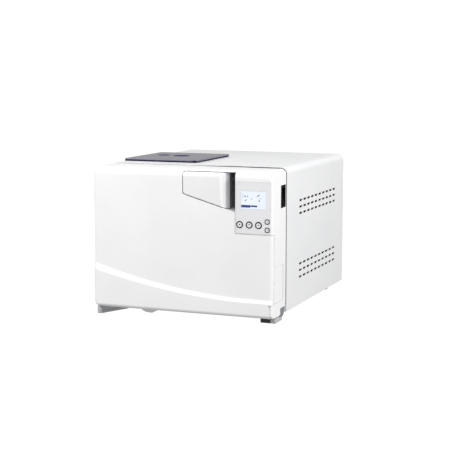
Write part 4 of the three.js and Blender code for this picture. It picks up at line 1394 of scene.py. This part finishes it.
@dataclass
class Feet:
    """The two front feet and the two rear feet."""

    front_height: float = 19.7
    # How wide the light grey end of the right front foot is; the rest of that foot is dark as painted shade.
    split: float = 13.0

    def rear(self, node: str) -> Solid:
        """A round rubber foot.

        Args:
            node: the frame node of the foot.

        Returns:
            The foot.
        """
        box = Box.of(node)
        x, y, _ = box.middle
        top = box.z[1]
        profile = rounded([(0, 0), (15, 0, 1.2), (17.5, 4, 2), (19, top - 3, 1), (19, top, 0.8), (0, top)], 4)
        return Solid.turned(Axis.Z, x, y, profile, 48)

    def side(self, y: Point, toe: float, run: float) -> list[Point]:
        """A front foot from the side, with its ends lifted off the bench.

        Args:
            y: its limits from front to back.
            toe: how far its ends are lifted.
            run: how far from each end it meets the bench.

        Returns:
            The outline.
        """
        return rounded([
            (y[0], toe, 1.5), (y[0] + run, 0, 2), (y[1] - run, 0, 2), (y[1], toe, 1.5),
            (y[1], self.front_height), (y[0], self.front_height),
        ], 4)

    def runner(self) -> Solid:
        """The left front foot: a grooved runner that spreads towards the back.

        Returns:
            The runner.
        """
        box = Box.of("foot_front_left")
        x, y = box.x[0], box.y
        plan = rounded([
            (x, y[0], 2), (x + 11, y[0], 2), (x + 14, y[0] + 15, 6), (x + 46, -220, 8), (x + 51, -150, 20),
            (x + 51, y[1], 2), (x, y[1], 2),
        ], 4)
        side = Solid.prism(Axis.X, self.side(y, 2.5, 5), box.x)
        shape = side.common(Solid.prism(Axis.Z, plan, (-5, 30))).eased(0.8, 50)
        groove = Solid.block((box.x[0] - 2, box.x[1] + 2), (y[0] - 2, y[1] + 2), (6.4, 7.2))
        return shape.cut(groove)

    def build(self) -> None:
        """Builds and places the feet."""
        for hand in ("left", "right"):
            node = f"foot_rear_{hand}"
            place(self.rear(node), f"{node}_pad", RUBBER, Body.CABINET, [node])
        place(self.runner(), "foot_front_left_runner", LIGHT_RUBBER, Body.CABINET, ["foot_front_left"])
        box = Box.of("foot_front_right")
        side = self.side(box.y, 2.0, 4)
        split = box.x[1] - self.split
        # Most of this foot is dark rubber that paints the shade under the door's overhang; only its right end
        # keeps the light grey.
        shaded_part = Solid.prism(Axis.X, side, (box.x[0], split - 0.3), soft=1.2)
        light = Solid.prism(Axis.X, side, (split, box.x[1]), soft=1.2)
        place(shaded_part, "foot_front_right_painted_shade", RUBBER, Body.CABINET, ["foot_front_right"])
        place(light, "foot_front_right_shoe", LIGHT_RUBBER, Body.CABINET)
        screw = Solid.rod(Axis.X, -217.2, 14.6, 1.7, (box.x[1] + 3.2, box.x[1] + 4.4), soft=0.3)
        place(screw, "corner_bracket_screw", BLACK, Body.CABINET)


@dataclass
class TankTop:
    """The rim, smoked lid and filler caps over the two water tanks."""

    rim_z: Point = (392.3, 395.6)
    sheet_z: Point = (397.0, 400.0)
    skirt: float = 393.4
    rear: float = 82.0
    rim_rear: float = 83.0
    pivot: Point = (87.0, 396.4)
    knuckle: float = 3.0
    cap_z: tuple[float, float, float] = (388.0, 395.4, 399.4)

    def caps(self) -> dict[str, tuple[float, float, float]]:
        """Each cap's centre and radius, from the frame.

        Returns:
            The centre's x and y and the radius, by the name of the tank.
        """
        made = {}
        for name in ("used", "clean"):
            box = Box.of(f"filler_cap_{name}")
            made[name] = (box.middle[0], box.middle[1], (box.x[1] - box.x[0]) / 2)
        return made

    def cap(self, x: float, y: float, radius: float) -> Solid:
        """A screw cap with a ribbed skirt, a dished top and a grip bar across it.

        Args:
            x: the centre, across.
            y: the centre, from front to back.
            radius: the cap's radius.

        Returns:
            The cap.
        """
        skirt, seat, top = self.cap_z
        inner = radius - 3.9
        profile = rounded([
            (inner, skirt), (radius - 0.5, skirt, 0.5), (radius - 0.5, top - 0.4, 1.2),
            (radius - 3.4, top - 0.4, 0.5), (radius - 4.6, top - 1.6, 0.5), (0, top - 1.6), (0, seat),
            (inner, seat),
        ], 4)
        body = Solid.turned(Axis.Z, x, y, profile, 60)
        ribs = [
            Solid.rod(Axis.Z, x + u, y + v, 0.75, (skirt + 0.8, top - 2.0))
            for u, v in circle(0, 0, radius - 0.75, 36)
        ]
        reach = radius - 5
        bar = Solid.block((x - reach, x + reach), (y - 2.1, y + 2.1), (top - 2.6, top), radius=1.9, soft=0.7)
        return body.join(bar).join(together(ribs))

    def rim(self, rim: Box, lid: Box) -> Solid:
        """The flange on the casing, the raised frame inside the lid's skirt, and the hinge lugs.

        Args:
            rim: the limits of the rim.
            lid: the limits of the lid.

        Returns:
            The rim.
        """
        z0, z1 = self.rim_z
        flange_plan = rectangle(rim.x, (rim.y[0], self.rim_rear), 9)
        flange = Solid.prism(Axis.Z, flange_plan, (z0, 393), soft=0.3, soft_start=0)
        raised_y = (lid.y[0] + 2.6, self.rim_rear)
        raised = Solid.block((lid.x[0] + 2.6, lid.x[1] - 2.6), raised_y, (z0, z1), radius=6)
        well = Solid.block((lid.x[0] + 8, lid.x[1] - 8), (lid.y[0] + 8, 74), (z0 - 3, z1 + 3), radius=6)
        bore = Solid.rod(Axis.X, *self.pivot, 1.8, lid.x)
        lugs = [
            self.lug(x, (83.2, 89.5), (z0, z1 + 0.2)).cut(bore) for x in ((-215.0, -205.0), (-43.0, -33.0))
        ]
        return flange.join(raised).cut(well).join(*lugs)

    def lug(self, x: Point, y: Point, z: Point) -> Solid:
        """A round knuckle on the lid's pivot with the block that carries it."""
        return Solid.rod(Axis.X, *self.pivot, self.knuckle, x, soft=0.4).join(Solid.block(x, y, z))

    def sheet(self, lid: Box) -> Solid:
        """The lid's smoked sheet, with a hole round each cap.

        Args:
            lid: the limits of the lid.

        Returns:
            The sheet.
        """
        plan = rectangle(lid.x, (lid.y[0], self.rear), 8)
        holes = [Solid.rod(Axis.Z, x, y, radius + 1.8, (390, 405)) for x, y, radius in self.caps().values()]
        return Solid.prism(Axis.Z, plan, self.sheet_z, soft=0.9, soft_start=0).cut(*holes)

    def lid_skirt(self, lid: Box) -> Solid:
        """The lid's turned-down edge on its front and sides.

        Args:
            lid: the limits of the lid.

        Returns:
            The edge.
        """
        rear = self.rear
        edge = Solid.prism(Axis.Z, rectangle(lid.x, (lid.y[0], rear), 8), (self.skirt, self.sheet_z[0] - 0.1))
        inside = Solid.block((lid.x[0] + 2, lid.x[1] - 2), (lid.y[0] + 2, rear - 2), (390, 400), radius=6)
        open_rear = Solid.block((lid.x[0] - 2, lid.x[1] + 2), (rear - 8, rear + 2), (390, 396))
        return edge.cut(inside, open_rear)

    def hinge(self) -> Solid:
        """The lid's two knuckles on their pin."""
        knuckles = [self.lug(x, (79, 87), (396, 399.3)) for x in ((-204.5, -190.0), (-58.0, -43.5))]
        return together(knuckles).join(Solid.rod(Axis.X, *self.pivot, 1.4, (-217, -31), soft=0.4))

    def build(self) -> None:
        """Builds and places the rim, lid and caps."""
        lid = Box.of("tank_lid")
        place(self.rim(Box.of("tank_rim"), lid), "tank_rim_frame", PAINT, Body.CABINET, ["tank_rim"])
        place(self.sheet(lid), "tank_lid_sheet", SMOKED, Body.LID, ["tank_lid"])
        place(self.lid_skirt(lid), "tank_lid_skirt", SMOKED_EDGE, Body.LID)
        place(self.hinge(), "tank_lid_hinge", SMOKED_EDGE, Body.LID)
        catch_y = (lid.y[0] - 0.4, lid.y[0] + 1.6)
        catch = Solid.block((-29, -19.4), catch_y, (394.2, 398.6), radius=0.6, soft=0.3)
        place(catch, "tank_lid_catch", BLACK, Body.LID)
        for name, (x, y, radius) in self.caps().items():
            body = Body.CAP_USED if name == "used" else Body.CAP_CLEAN
            place(self.cap(x, y, radius), f"filler_cap_{name}_moulding", INDIGO, body, [f"filler_cap_{name}"])


# ---------------------------------------------------------------- console
@dataclass
class Console:
    """The fixed column at the right: its shell, fascia, screen, keys, switch and drain door."""

    wall: float = 2.5
    top_step: float = 1.0
    seam_room: float = 2.4
    skin_top: float = 232.0
    skin_back: float = -293.0
    block_left: float = 240.3
    block_top: float = 55.5
    flap_pivot: Point = (243.4, -226.4)
    flap_z: Point = (56.8, 148.4)
    rocker_x: float = 242.2
    rocker_lean: float = -8.0
    tap_heights: Point = (82.0, 122.0)
    tap_y: float = -258.0

    def column(self) -> Solid:
        """The column's shell with all its openings.

        Returns:
            The shell.
        """
        box = Box.of("side_column")
        t = self.wall
        z = (box.z[0], box.z[1] - self.top_step)
        seam = box.y[1] - self.seam_room
        outer = FrontForm(
            box.x, seam, z, box.y[0], box.y[0], left=0.01, right=6, upper_right=14
        ).solid()
        foot = self.skin_top + 1
        skin = self.skin_back + 1.4
        ahead = box.y[0] - CLEAR
        room = Solid.block((box.x[0] - 9, self.block_left), (ahead, skin), (box.z[0] - 9, foot))
        above = Solid.block((self.block_left - 3, box.x[1] + 9), (ahead, skin), (self.block_top, foot))
        inside = (box.x[0] + t, box.x[1] - t)
        upper = Solid.block(inside, (box.y[0] + t, box.y[1] + 3), (foot + t, box.z[1] - 16), radius=1)
        lower = Solid.block(inside, (skin + t, box.y[1] + 3), (box.z[0] + t, foot + t + 3), radius=1)
        notch = Solid.block((box.x[1] - 12, box.x[1] + 9), (box.y[1] - 43, box.y[1] + 9), (0, 38))
        bolts = [Solid.rod(Axis.X, BOLT_Y, z, 6, (box.x[0] - 5, box.x[0] + t + 2)) for z in BOLT_HEIGHTS]
        seat, window = self.fascia_seat(box)
        shell = outer.cut(room, above, notch, seat, *self.side_holes(box))
        return shell.cut(upper, lower, window, *bolts)

    def fascia_seat(self, box: Box) -> tuple[Solid, Solid]:
        """The shallow seat for the fascia and the opening behind it.

        Args:
            box: the limits of the column.

        Returns:
            The two tools.
        """
        fascia = Box.of("control_fascia")
        x, z = fascia.x, fascia.z
        outline = rectangle((x[0] - 0.4, x[1] + 0.4), (z[0] - 0.4, z[1] + 0.4), 2.4)
        seat = Solid.prism(Axis.Y, outline, (box.y[0] - 5, box.y[0] + 1.8))
        return seat, Solid.block((x[0] + 2, x[1] - 3), (box.y[0] - 5, box.y[0] + 8), (z[0] + 3, z[1] - 3))

    def side_holes(self, box: Box) -> tuple[Solid, Solid]:
        """The holes in the column's side for the switch plate and the drain door.

        Args:
            box: the limits of the column.

        Returns:
            The two tools.
        """
        switch, flap = Box.of("switch_insert"), Box.of("drain_flap")
        far = (box.x[1] - 8, box.x[1] + 5)
        switch_y, switch_z = (switch.y[0] - 0.4, switch.y[1] + 0.4), (switch.z[0] - 0.4, switch.z[1] + 0.4)
        flap_y, flap_z = (flap.y[0] - 0.7, flap.y[1] + 1.9), (self.flap_z[0] - 0.8, self.flap_z[1] + 0.8)
        return (
            Solid.prism(Axis.X, rectangle(switch_y, switch_z, 1.5), far),
            Solid.prism(Axis.X, rectangle(flap_y, flap_z, 0.8), far),
        )

    def fascia(self) -> Solid:
        """The printed panel with its screen window and key holes.

        Returns:
            The panel.
        """
        box = Box.of("control_fascia")
        lens = Box.of("display_lens")
        plate = Solid.prism(Axis.Y, rectangle(box.x, box.z, 2.2), box.y, soft=0, soft_start=0.4)
        gap = 0.35
        through = (box.y[0] - 5, box.y[1] + 5)
        opening = rectangle((lens.x[0] - gap, lens.x[1] + gap), (lens.z[0] - gap, lens.z[1] + gap), 1)
        window = Solid.prism(Axis.Y, opening, through)
        holes = []
        for i in (1, 2, 3):
            x, _, z = Box.of(f"round_button_{i}").middle
            holes.append(Solid.rod(Axis.Y, x, z, 9.1, through))
        for i in (1, 2):
            x, _, z = Box.of(f"square_button_{i}").middle
            holes.append(Solid.prism(Axis.Y, self.square(x, z, 6.5, 4.2, 6), through))
        return plate.cut(window, *holes)

    def square(self, x: float, z: float, half: float, radius: float, steps: int = 8) -> list[Point]:
        """A square outline with round corners, centred on (x, z)."""
        return rectangle((x - half, x + half), (z - half, z + half), radius, steps)

    def ring(self, outer: Sequence[Point], inner: Sequence[Point], y: Point) -> Solid:
        """A flat printed band between two outlines."""
        return Solid.prism(Axis.Y, outer, y).cut(Solid.prism(Axis.Y, inner, (y[0] - 1, y[1] + 1)))

    def round_key(self, i: int) -> None:
        """Builds and places a round key, with a dark band round it and a plain mark.

        Args:
            i: the key's number.
        """
        node, body = f"round_button_{i}", f"round_key_{i}"
        box = Box.of(node)
        x, _, z = box.middle
        y0 = box.y[0]
        profile = rounded([
            (0, y0 + 0.5), (4.5, y0 + 0.4, 2), (7.3, y0, 0.8), (8.5, y0 + 0.5, 0.4), (8.5, y0 + 6, 0.4),
            (2.5, y0 + 7), (2.5, y0 + 16), (0, y0 + 16),
        ], 4)
        place(Solid.turned(Axis.Y, x, z, profile, 48), f"{node}_cap", PANEL, body, [node])
        band = self.ring(circle(x, z, 8.6, 48), circle(x, z, 6.1, 48), (y0 - 0.05, y0 + 1.0))
        place(band, f"{node}_band", INK, body)
        place(self.mark(i, x, z, (y0 + 0.2, y0 + 1.0)), f"{node}_mark", INK, body)

    def square_key(self, i: int) -> None:
        """Builds and places a square key, with a dark band round it and a dot.

        Args:
            i: the key's number.
        """
        node, body = f"square_button_{i}", f"square_key_{i}"
        box = Box.of(node)
        x, _, z = box.middle
        y0 = box.y[0]
        outer, inner = self.square(x, z, 6, 4), self.square(x, z, 4.1, 2.3)
        cap = Solid.prism(Axis.Y, outer, (y0, y0 + 7), soft=0, soft_start=0.7)
        stem = Solid.rod(Axis.Y, x, z, 2, (y0 + 6, y0 + 16))
        place(cap.join(stem), f"{node}_cap", PANEL, body, [node])
        place(self.ring(outer, inner, (y0 - 0.05, y0 + 1.2)), f"{node}_band", INK, body)
        place(Solid.rod(Axis.Y, x, z, 1.2, (y0 - 0.05, y0 + 1.0)), f"{node}_mark", INK, body)

    def mark(self, which: int, x: float, z: float, y: Point) -> Solid:
        """The plain sign on a round key: a dot, an upward chevron or a bar.

        Args:
            which: the key's number.
            x: its centre, across.
            z: its centre, up.
            y: how deep the print stands.

        Returns:
            The sign.
        """
        if which == 1:
            return Solid.rod(Axis.Y, x, z, 1.7, y)
        if which == 2:
            shape = [
                (x - 3, z - 1.4), (x, z + 1.6), (x + 3, z - 1.4), (x + 3, z - 0.1), (x, z + 2.9),
                (x - 3, z - 0.1),
            ]
            return Solid.prism(Axis.Y, shape, y)
        return Solid.prism(Axis.Y, rectangle((x - 3, x + 3), (z - 0.6, z + 0.6), 0.5, 3), y)

    def display(self) -> None:
        """The lit screen behind its lens, with plain gauge marks and a status bar."""
        lens = Box.of("display_lens")
        x, y, z = lens.x, lens.y, lens.z
        window = Solid.prism(Axis.Y, rectangle(x, z, 0.8, 4), y, soft=0, soft_start=0.25)
        place(window, "display_window", DISPLAY, Body.CABINET, ["display_lens"])
        depth = (y[0] - 0.05, y[0] + 0.4)
        bars = [
            Solid.prism(Axis.Y, rectangle((x[0] + 0.6, x[0] + 25), (z[0] + 3.4, z[0] + 9.8), 0.5, 3), depth),
            Solid.prism(Axis.Y, rectangle((x[0] + 25.5, x[0] + 43), (z[0] + 5.4, z[0] + 9.6), 0.5, 3), depth),
        ]
        place(together(bars), "display_status_bar", DISPLAY_BAR, Body.CABINET)
        strokes = [
            ((8.5, 31.5), (13.2, 31.5), 2.3), ((16.5, 34), (16.5, 29.6), 1.3),
            ((16.5, 30.0), (19.8, 30.0), 1.3), ((10.8, 19.6), (14.8, 24.0), 2.0),
            ((42.6, 31.2), (49, 36.4), 2.1), ((48.4, 18.8), (48.4, 24.2), 2.0),
            ((52.2, 26.2), (53.6, 29), 1.6), ((5.2, 27), (5.2, 38), 0.8), ((24, 25.5), (31, 25.5), 1.0),
        ]
        made = []
        for (u0, v0), (u1, v1), width in strokes:
            a, b = Vector((x[0] + u0, z[0] + v0)), Vector((x[0] + u1, z[0] + v1))
            way = (b - a).normalized()
            across = Vector((-way.y, way.x)) * width / 2
            outline = [tuple(p) for p in (a + across, a - across, b - across, b + across)]
            made.append(Solid.prism(Axis.Y, outline, depth))
        place(together(made), "display_signs", DISPLAY_MARK, Body.CABINET)

    def switch(self) -> None:
        """The black mains switch plate and its rocker."""
        box = Box.of("switch_insert")
        plate = Solid.prism(Axis.X, rectangle(box.y, box.z, 1.2), box.x, soft=0.5, soft_start=0)
        opening = rectangle((box.y[0] + 6.6, box.y[1] - 6.6), (301.6, 343.4), 2.5)
        recess = Solid.prism(Axis.X, opening, (235.5, box.x[1] + 5))
        place(plate.cut(recess), "switch_plate", BLACK, Body.CABINET, ["switch_insert"])
        rocker = Box.of("rocker_switch")
        _, y, z = rocker.middle
        shape = rounded([(-2, -19.5, 1), (2, -19.5, 1), (1.2, 0, 12), (2, 19.5, 1), (-2, 19.5, 1)], 5)
        paddle = Solid.prism(Axis.Y, shape, (-11, 11), soft=0.7)
        turn = Matrix.Rotation(math.radians(self.rocker_lean), 4, "Y")
        lean = Matrix.Translation((self.rocker_x, y, z)) @ turn
        place(paddle.moved(lean), "mains_rocker", BLACK, Body.ROCKER, ["rocker_switch"])

    def drain_door(self) -> Solid:
        """The hinged door over the drain taps, with its ears, pegs and finger pull.

        Returns:
            The door.
        """
        box = Box.of("drain_flap")
        px, py = self.flap_pivot
        z0, z1 = self.flap_z
        plan = rounded([
            (px + 1.8, box.y[0]), (px + 4.0, box.y[0], 0.5), (px + 4.0, box.y[1], 1.6),
            (px + 1.8, box.y[1], 0.5),
        ], 4)
        door = Solid.prism(Axis.Z, plan, (z0, z1), soft=0.5)
        ears = [
            Solid.block((px - 1.1, px + 2.6), (py - 1.3, py + 1.3), z, radius=0.8)
            for z in ((z0, z0 + 6), (z1 - 6, z1))
        ]
        pegs = [Solid.rod(Axis.Z, px, py, 0.95, z) for z in ((z0 - 3, z0 + 1), (z1 - 1, z1 + 3))]
        pull = Solid.rod(Axis.X, box.y[0] - 1, 102.6, 7, (px + 3.0, px + 6))
        return door.join(*ears, *pegs).cut(pull)

    def tap(self, box: Box, z: float) -> Solid:
        """A quarter-turn drain tap: a hub with a lever.

        Args:
            box: the limits of the tap.
            z: the height of its middle.

        Returns:
            The tap.
        """
        y = self.tap_y
        profile = rounded([
            (0, box.x[0]), (8, box.x[0], 0.8), (8, box.x[1] - 2, 1), (6.5, box.x[1] - 1, 0.5),
            (0, box.x[1] - 1),
        ], 4)
        outline = rectangle((y - 2.5, y + 2.5), (z - 17, z + 3), 2.2)
        lever = Solid.prism(Axis.X, outline, (box.x[0] + 3, box.x[1]), soft=0.8)
        return Solid.turned(Axis.X, y, z, profile, 40).join(lever)

    def build(self) -> None:
        """Builds and places the console's pieces."""
        place(self.column(), "console_column", MOULDING, Body.CABINET, ["side_column"])
        place(self.fascia(), "control_panel", PANEL, Body.CABINET, ["control_fascia"])
        for i in (1, 2, 3):
            self.round_key(i)
        for i in (1, 2):
            self.square_key(i)
        self.display()
        self.switch()
        place(self.drain_door(), "drain_door", MOULDING, Body.FLAP, ["drain_flap"])
        low, high = self.tap_heights
        taps = (("lower", low, Body.VALVE_LOWER, BRASS), ("upper", high, Body.VALVE_UPPER, CAST))
        for name, z, body, finish in taps:
            node = f"drain_valve_{name}"
            place(self.tap(Box.of(node), z), f"drain_tap_{name}", finish, body, [node])


# ---------------------------------------------------------------- chamber and machinery
@dataclass
class Chamber:
    """The pressure vessel with its flange, and the rack and trays inside it."""

    bore: float = 125.0
    wall: float = 3.0
    flange: float = 152.0
    tray_sheet: float = 1.2
    tray_edge: float = 24.0
    hole_grid: tuple[int, int] = (7, 12)
    hole_radius: float = 3.4

    def vessel(self) -> Solid:
        """The vessel: a deep drawn pot with a dished end and a machined flange.

        Returns:
            The vessel.
        """
        box = Box.of("chamber_vessel")
        y0, y1 = box.y
        outer = self.bore + self.wall
        profile = rounded([
            (self.bore, y0, 1.5), (self.flange, y0, 1), (self.flange, y0 + 12, 1), (outer, y0 + 12, 2),
            (outer, y1 - 5, 26), (0, y1 - 5), (0, y1 - 8), (self.bore, y1 - 8, 23),
        ], 8)
        return Solid.turned(Axis.Y, *CHAMBER, profile, 96)

    def tray(self, node: str) -> Solid:
        """A perforated tray with a rolled rim.

        Args:
            node: the frame node of the tray.

        Returns:
            The tray.
        """
        box = Box.of(node)
        t = self.tray_sheet
        z0, z1 = box.z
        outer = Solid.prism(Axis.Z, rectangle(box.x, box.y, 8), (z0, z1 - 0.5), soft=0, soft_start=2.5)
        floor = rectangle((box.x[0] + t, box.x[1] - t), (box.y[0] + t, box.y[1] - t), 7)
        inner = Solid.prism(Axis.Z, floor, (z0 + t, z1 + 5), soft=0, soft_start=2.0)
        across, along = self.hole_grid
        edge = self.tray_edge
        holes = []
        for i in range(across):
            x = box.x[0] + edge + i * (box.x[1] - box.x[0] - 2 * edge) / (across - 1)
            for j in range(along):
                y = box.y[0] + edge + j * (box.y[1] - box.y[0] - 2 * edge) / (along - 1)
                holes.append(Solid.prism(Axis.Z, circle(x, y, self.hole_radius, 14), (z0 - 3, z0 + 5)))
        corners = rectangle((box.x[0] + 1.1, box.x[1] - 1.1), (box.y[0] + 1.1, box.y[1] - 1.1), 7, 5)
        rim = Solid.swept([(x, y, z1 - 1.1) for x, y in corners], 1.1, 8, closed=True)
        return outer.cut(inner, together(holes)).join(rim)

    def build(self) -> None:
        """Builds and places the chamber's pieces."""
        place(self.vessel(), "chamber_pot", TURNED_STEEL, Body.CABINET, ["chamber_vessel"])
        for level in ("lower", "middle", "upper"):
            node = f"tray_{level}"
            place(self.tray(node), f"{node}_perforated", STEEL, Body.CABINET, [node])


@dataclass
class RearFittings:
    """The mains inlet, safety valve and drain union on the back plate."""

    plate: float = 287.0
    inlet_flange: Point = (25.0, 14.0)
    inlet_body: Point = (14.0, 11.0)
    rivet_reach: float = 20.0

    def inlet(self) -> None:
        """Builds and places the mains inlet with its three pins and two rivets."""
        box = Box.of("power_inlet")
        x, _, z = box.middle
        rear = box.y[1]
        (wide, tall), (inner_wide, inner_tall) = self.inlet_flange, self.inlet_body
        flange_plan = rectangle((x - wide, x + wide), (z - tall, z + tall), 4)
        flange = Solid.prism(Axis.Y, flange_plan, (285.8, rear), soft=1.0, soft_start=0)
        body_plan = rectangle((x - inner_wide, x + inner_wide), (z - inner_tall, z + inner_tall), 2)
        body = Solid.prism(Axis.Y, body_plan, (box.y[0], self.plate))
        mouth = rounded([
            (x - 11.5, z - 8.5, 1.5), (x + 11.5, z - 8.5, 1.5), (x + 11.5, z + 4, 1.5), (x + 7, z + 8.5, 1),
            (x - 7, z + 8.5, 1), (x - 11.5, z + 4, 1.5),
        ], 4)
        socket = Solid.prism(Axis.Y, mouth, (269, rear + 3))
        place(flange.join(body).cut(socket), "mains_inlet_body", BLACK, Body.CABINET, ["power_inlet"])
        pins = [
            Solid.block((x + d - 1, x + d + 1), (268.5, 284), (z - 3, z + 3), radius=0.8) for d in (-7, 7)
        ]
        pins.append(Solid.block((x - 1, x + 1), (268.5, 285), (z + 1.5, z + 6.5), radius=0.8))
        place(together(pins), "mains_inlet_pins", ZINC, Body.CABINET)
        head = rounded([(0, rear - 0.3), (2.6, rear - 0.3), (2.6, rear, 0.3), (0, rear)], 2)
        rivets = [Solid.turned(Axis.Y, x + d, z, head, 20) for d in (-self.rivet_reach, self.rivet_reach)]
        place(together(rivets), "mains_inlet_rivets", ZINC, Body.CABINET)

    def safety_valve(self) -> Solid:
        """The brass safety valve: a turned stem with a hexagon.

        Returns:
            The valve.
        """
        box = Box.of("safety_valve")
        x, _, z = box.middle
        start, end = box.y
        plate = self.plate
        stem = rounded([
            (0, start), (8, start, 1), (8, plate, 0.5), (11, plate, 0.8), (11, 293, 0.8), (7, 294.5, 1),
            (7, 302, 1), (9.5, 303, 0.8), (9.5, end, 1.2), (0, end),
        ], 4)
        hexagon = Solid.prism(Axis.Y, circle(x, z, 11, 6), (plate, 293), soft=0.6)
        return Solid.turned(Axis.Y, x, z, stem, 48).join(hexagon)

    def drain_union(self) -> Solid:
        """The drain's barbed hose union.

        Returns:
            The union.
        """
        box = Box.of("drain_outlet")
        x, _, z = box.middle
        start, end = box.y
        plate = self.plate
        barb = [
            (3.2, start), (7, start, 0.5), (7, plate), (10, plate, 0.6), (10, 291, 0.6), (5.2, 291.8, 0.4),
        ]
        for k in range(3):
            y = 293 + k * 4.6
            barb += [(5.2, y), (6.4, y + 0.3, 0.2), (5.2, y + 4.0)]
        barb += [(4.6, end, 0.3), (3.2, end)]
        return Solid.turned(Axis.Y, x, z, rounded(barb, 3), 40)

    def build(self) -> None:
        """Builds and places the fittings."""
        self.inlet()
        place(self.safety_valve(), "safety_valve_body", BRASS, Body.CABINET, ["safety_valve"])
        place(self.drain_union(), "drain_union", BRASS, Body.CABINET, ["drain_outlet"])


@dataclass
class Machinery:
    """The frame nodes whose own shape is shown, with softened edges and their finishes."""

    finishes: dict[str, Finish] = field(default_factory=lambda: {
        "base_tray": ZINC, "insulation_jacket": WOOL, "heater_band": STEEL, "chamber_cradle": ZINC,
        "tray_rack": STEEL, "steam_generator": STEEL, "vacuum_pump": CAST, "water_pump": CAST,
        "power_supply": ALUMINIUM, "bacterial_filter": TANK, "condenser": CONDENSER, "fan_housing": BLACK,
        "fan_rotor": BLACK, "water_tank_used": TANK, "water_tank_clean": TANK, "display_module": ZINC,
        "drain_niche": BLACK, "drain_manifold": BRASS, "corner_bracket": BRACKET, "lock_keeper": ZINC,
        "hinge_bracket_lower": ZINC, "hinge_bracket_upper": ZINC, "door_arm": ZINC, "lock_bar": STEEL,
    })
    weld: float = 0.00001
    edge: float = 0.0006
    edge_degrees: float = 40.0

    def dress(self, nodes: dict[str, bpy.types.Object]) -> None:
        """Gives each shown frame node its finish and softened edges.

        Args:
            nodes: the frame's nodes by name.
        """
        for name, finish in self.finishes.items():
            node = nodes[name]
            material = finish.material()
            if not node.material_slots:
                node.data.materials.append(material)
            for entry in node.material_slots:
                entry.material = material
            weld = node.modifiers.new("weld", "WELD")
            weld.merge_threshold = self.weld
            bevel = node.modifiers.new("soft_edges", "BEVEL")
            bevel.width = self.edge
            bevel.segments = 2
            bevel.limit_method = "ANGLE"
            bevel.angle_limit = math.radians(self.edge_degrees)
            LOG.info("%s: frame node with %s", name, finish.name)


# ---------------------------------------------------------------- studio
@dataclass
class Studio:
    """The pale floor, the soft lights and the camera."""

    camera_place: tuple[float, float, float] = (1.2589, -3.1718, 0.6654)
    camera_pitch: float = 90 - 7.7305
    camera_yaw: float = 21.534
    lens: float = 98.2
    sensor: float = 36.0
    white: float = 1.05
    floor_light: float = 0.42
    sky_light: float = 0.41

    def backdrop(self, tree: bpy.types.NodeTree, lighting: float) -> bpy.types.NodeSocket:
        """Adds the strength of a white that looks full but lights the object less.

        Args:
            tree: the node tree of the floor's paper or of the world.
            lighting: how bright it is for the light that it sheds.

        Returns:
            The strength.
        """
        path = tree.nodes.new("ShaderNodeLightPath")
        strength = tree.nodes.new("ShaderNodeMapRange")
        strength.inputs["To Min"].default_value = lighting
        strength.inputs["To Max"].default_value = self.white
        tree.links.new(path.outputs["Is Camera Ray"], strength.inputs["Value"])
        return strength.outputs["Result"]

    def floor(self) -> None:
        """Lays the pale floor."""
        work = bmesh.new()
        bmesh.ops.create_grid(work, x_segments=24, y_segments=24, size=60)
        mesh = bpy.data.meshes.new("floor")
        work.to_mesh(mesh)
        work.free()
        paper = bpy.data.materials.new("studio_paper")
        paper.use_nodes = True
        tree = paper.node_tree
        glow = tree.nodes.new("ShaderNodeEmission")
        tree.links.new(self.backdrop(tree, self.floor_light), glow.inputs["Strength"])
        out = next(n for n in tree.nodes if n.type == "OUTPUT_MATERIAL")
        tree.links.new(glow.outputs["Emission"], out.inputs["Surface"])
        mesh.materials.append(paper)
        floor = bpy.data.objects.new("floor", mesh)
        floor.location.z = -0.0005
        bpy.context.scene.collection.objects.link(floor)

    def light(
        self, name: str, where: Sequence[float], aim: Sequence[float], size: float, power: float
    ) -> None:
        """Hangs one square soft light.

        Args:
            name: the light's name.
            where: its place, in metres.
            aim: the point that it faces.
            size: its side, in metres.
            power: its power, in watts.
        """
        data = bpy.data.lights.new(name, "AREA")
        data.shape = "SQUARE"
        data.size = size
        data.energy = power
        lamp = bpy.data.objects.new(name, data)
        lamp.location = where
        lamp.rotation_euler = (Vector(aim) - Vector(where)).to_track_quat("-Z", "Y").to_euler()
        bpy.context.scene.collection.objects.link(lamp)

    def camera(self) -> None:
        """Sets up the camera."""
        data = bpy.data.cameras.new("camera")
        data.sensor_width = self.sensor
        data.lens = self.lens
        data.clip_end = 200
        made = bpy.data.objects.new("camera", data)
        made.location = self.camera_place
        made.rotation_euler = (math.radians(self.camera_pitch), 0, math.radians(self.camera_yaw))
        bpy.context.scene.collection.objects.link(made)
        bpy.context.scene.camera = made

    def build(self) -> None:
        """Builds the whole studio."""
        self.floor()
        self.light("key", (-1.3, -1.8, 1.65), (-0.3, -0.3, 0.32), 0.9, 38)
        self.light("side", (2.5, -0.95, 1.9), (0.25, -0.3, 0.3), 1.2, 71)
        self.light("top", (0.9, 0.2, 3.6), (0.1, 0.0, 0.4), 2.2, 9)
        self.camera()
        world = bpy.data.worlds.new("studio")
        world.use_nodes = True
        tree = world.node_tree
        ground = next(n for n in tree.nodes if n.type == "BACKGROUND")
        ground.inputs["Color"].default_value = (1.0, 1.0, 1.0, 1.0)
        tree.links.new(self.backdrop(tree, self.sky_light), ground.inputs["Strength"])
        scene = bpy.context.scene
        scene.world = world
        scene.view_settings.view_transform = "Standard"


def main() -> None:
    """Builds the autoclave's looks round its frame."""
    logging.basicConfig(level=logging.INFO, format="%(name)s: %(message)s")
    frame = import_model()
    Studio().build()
    Door().build()
    Handle().build()
    Casing().build()
    Feet().build()
    TankTop().build()
    Console().build()
    Chamber().build()
    RearFittings().build()
    Machinery().dress(frame["nodes"])


if __name__ == "__main__":
    main()
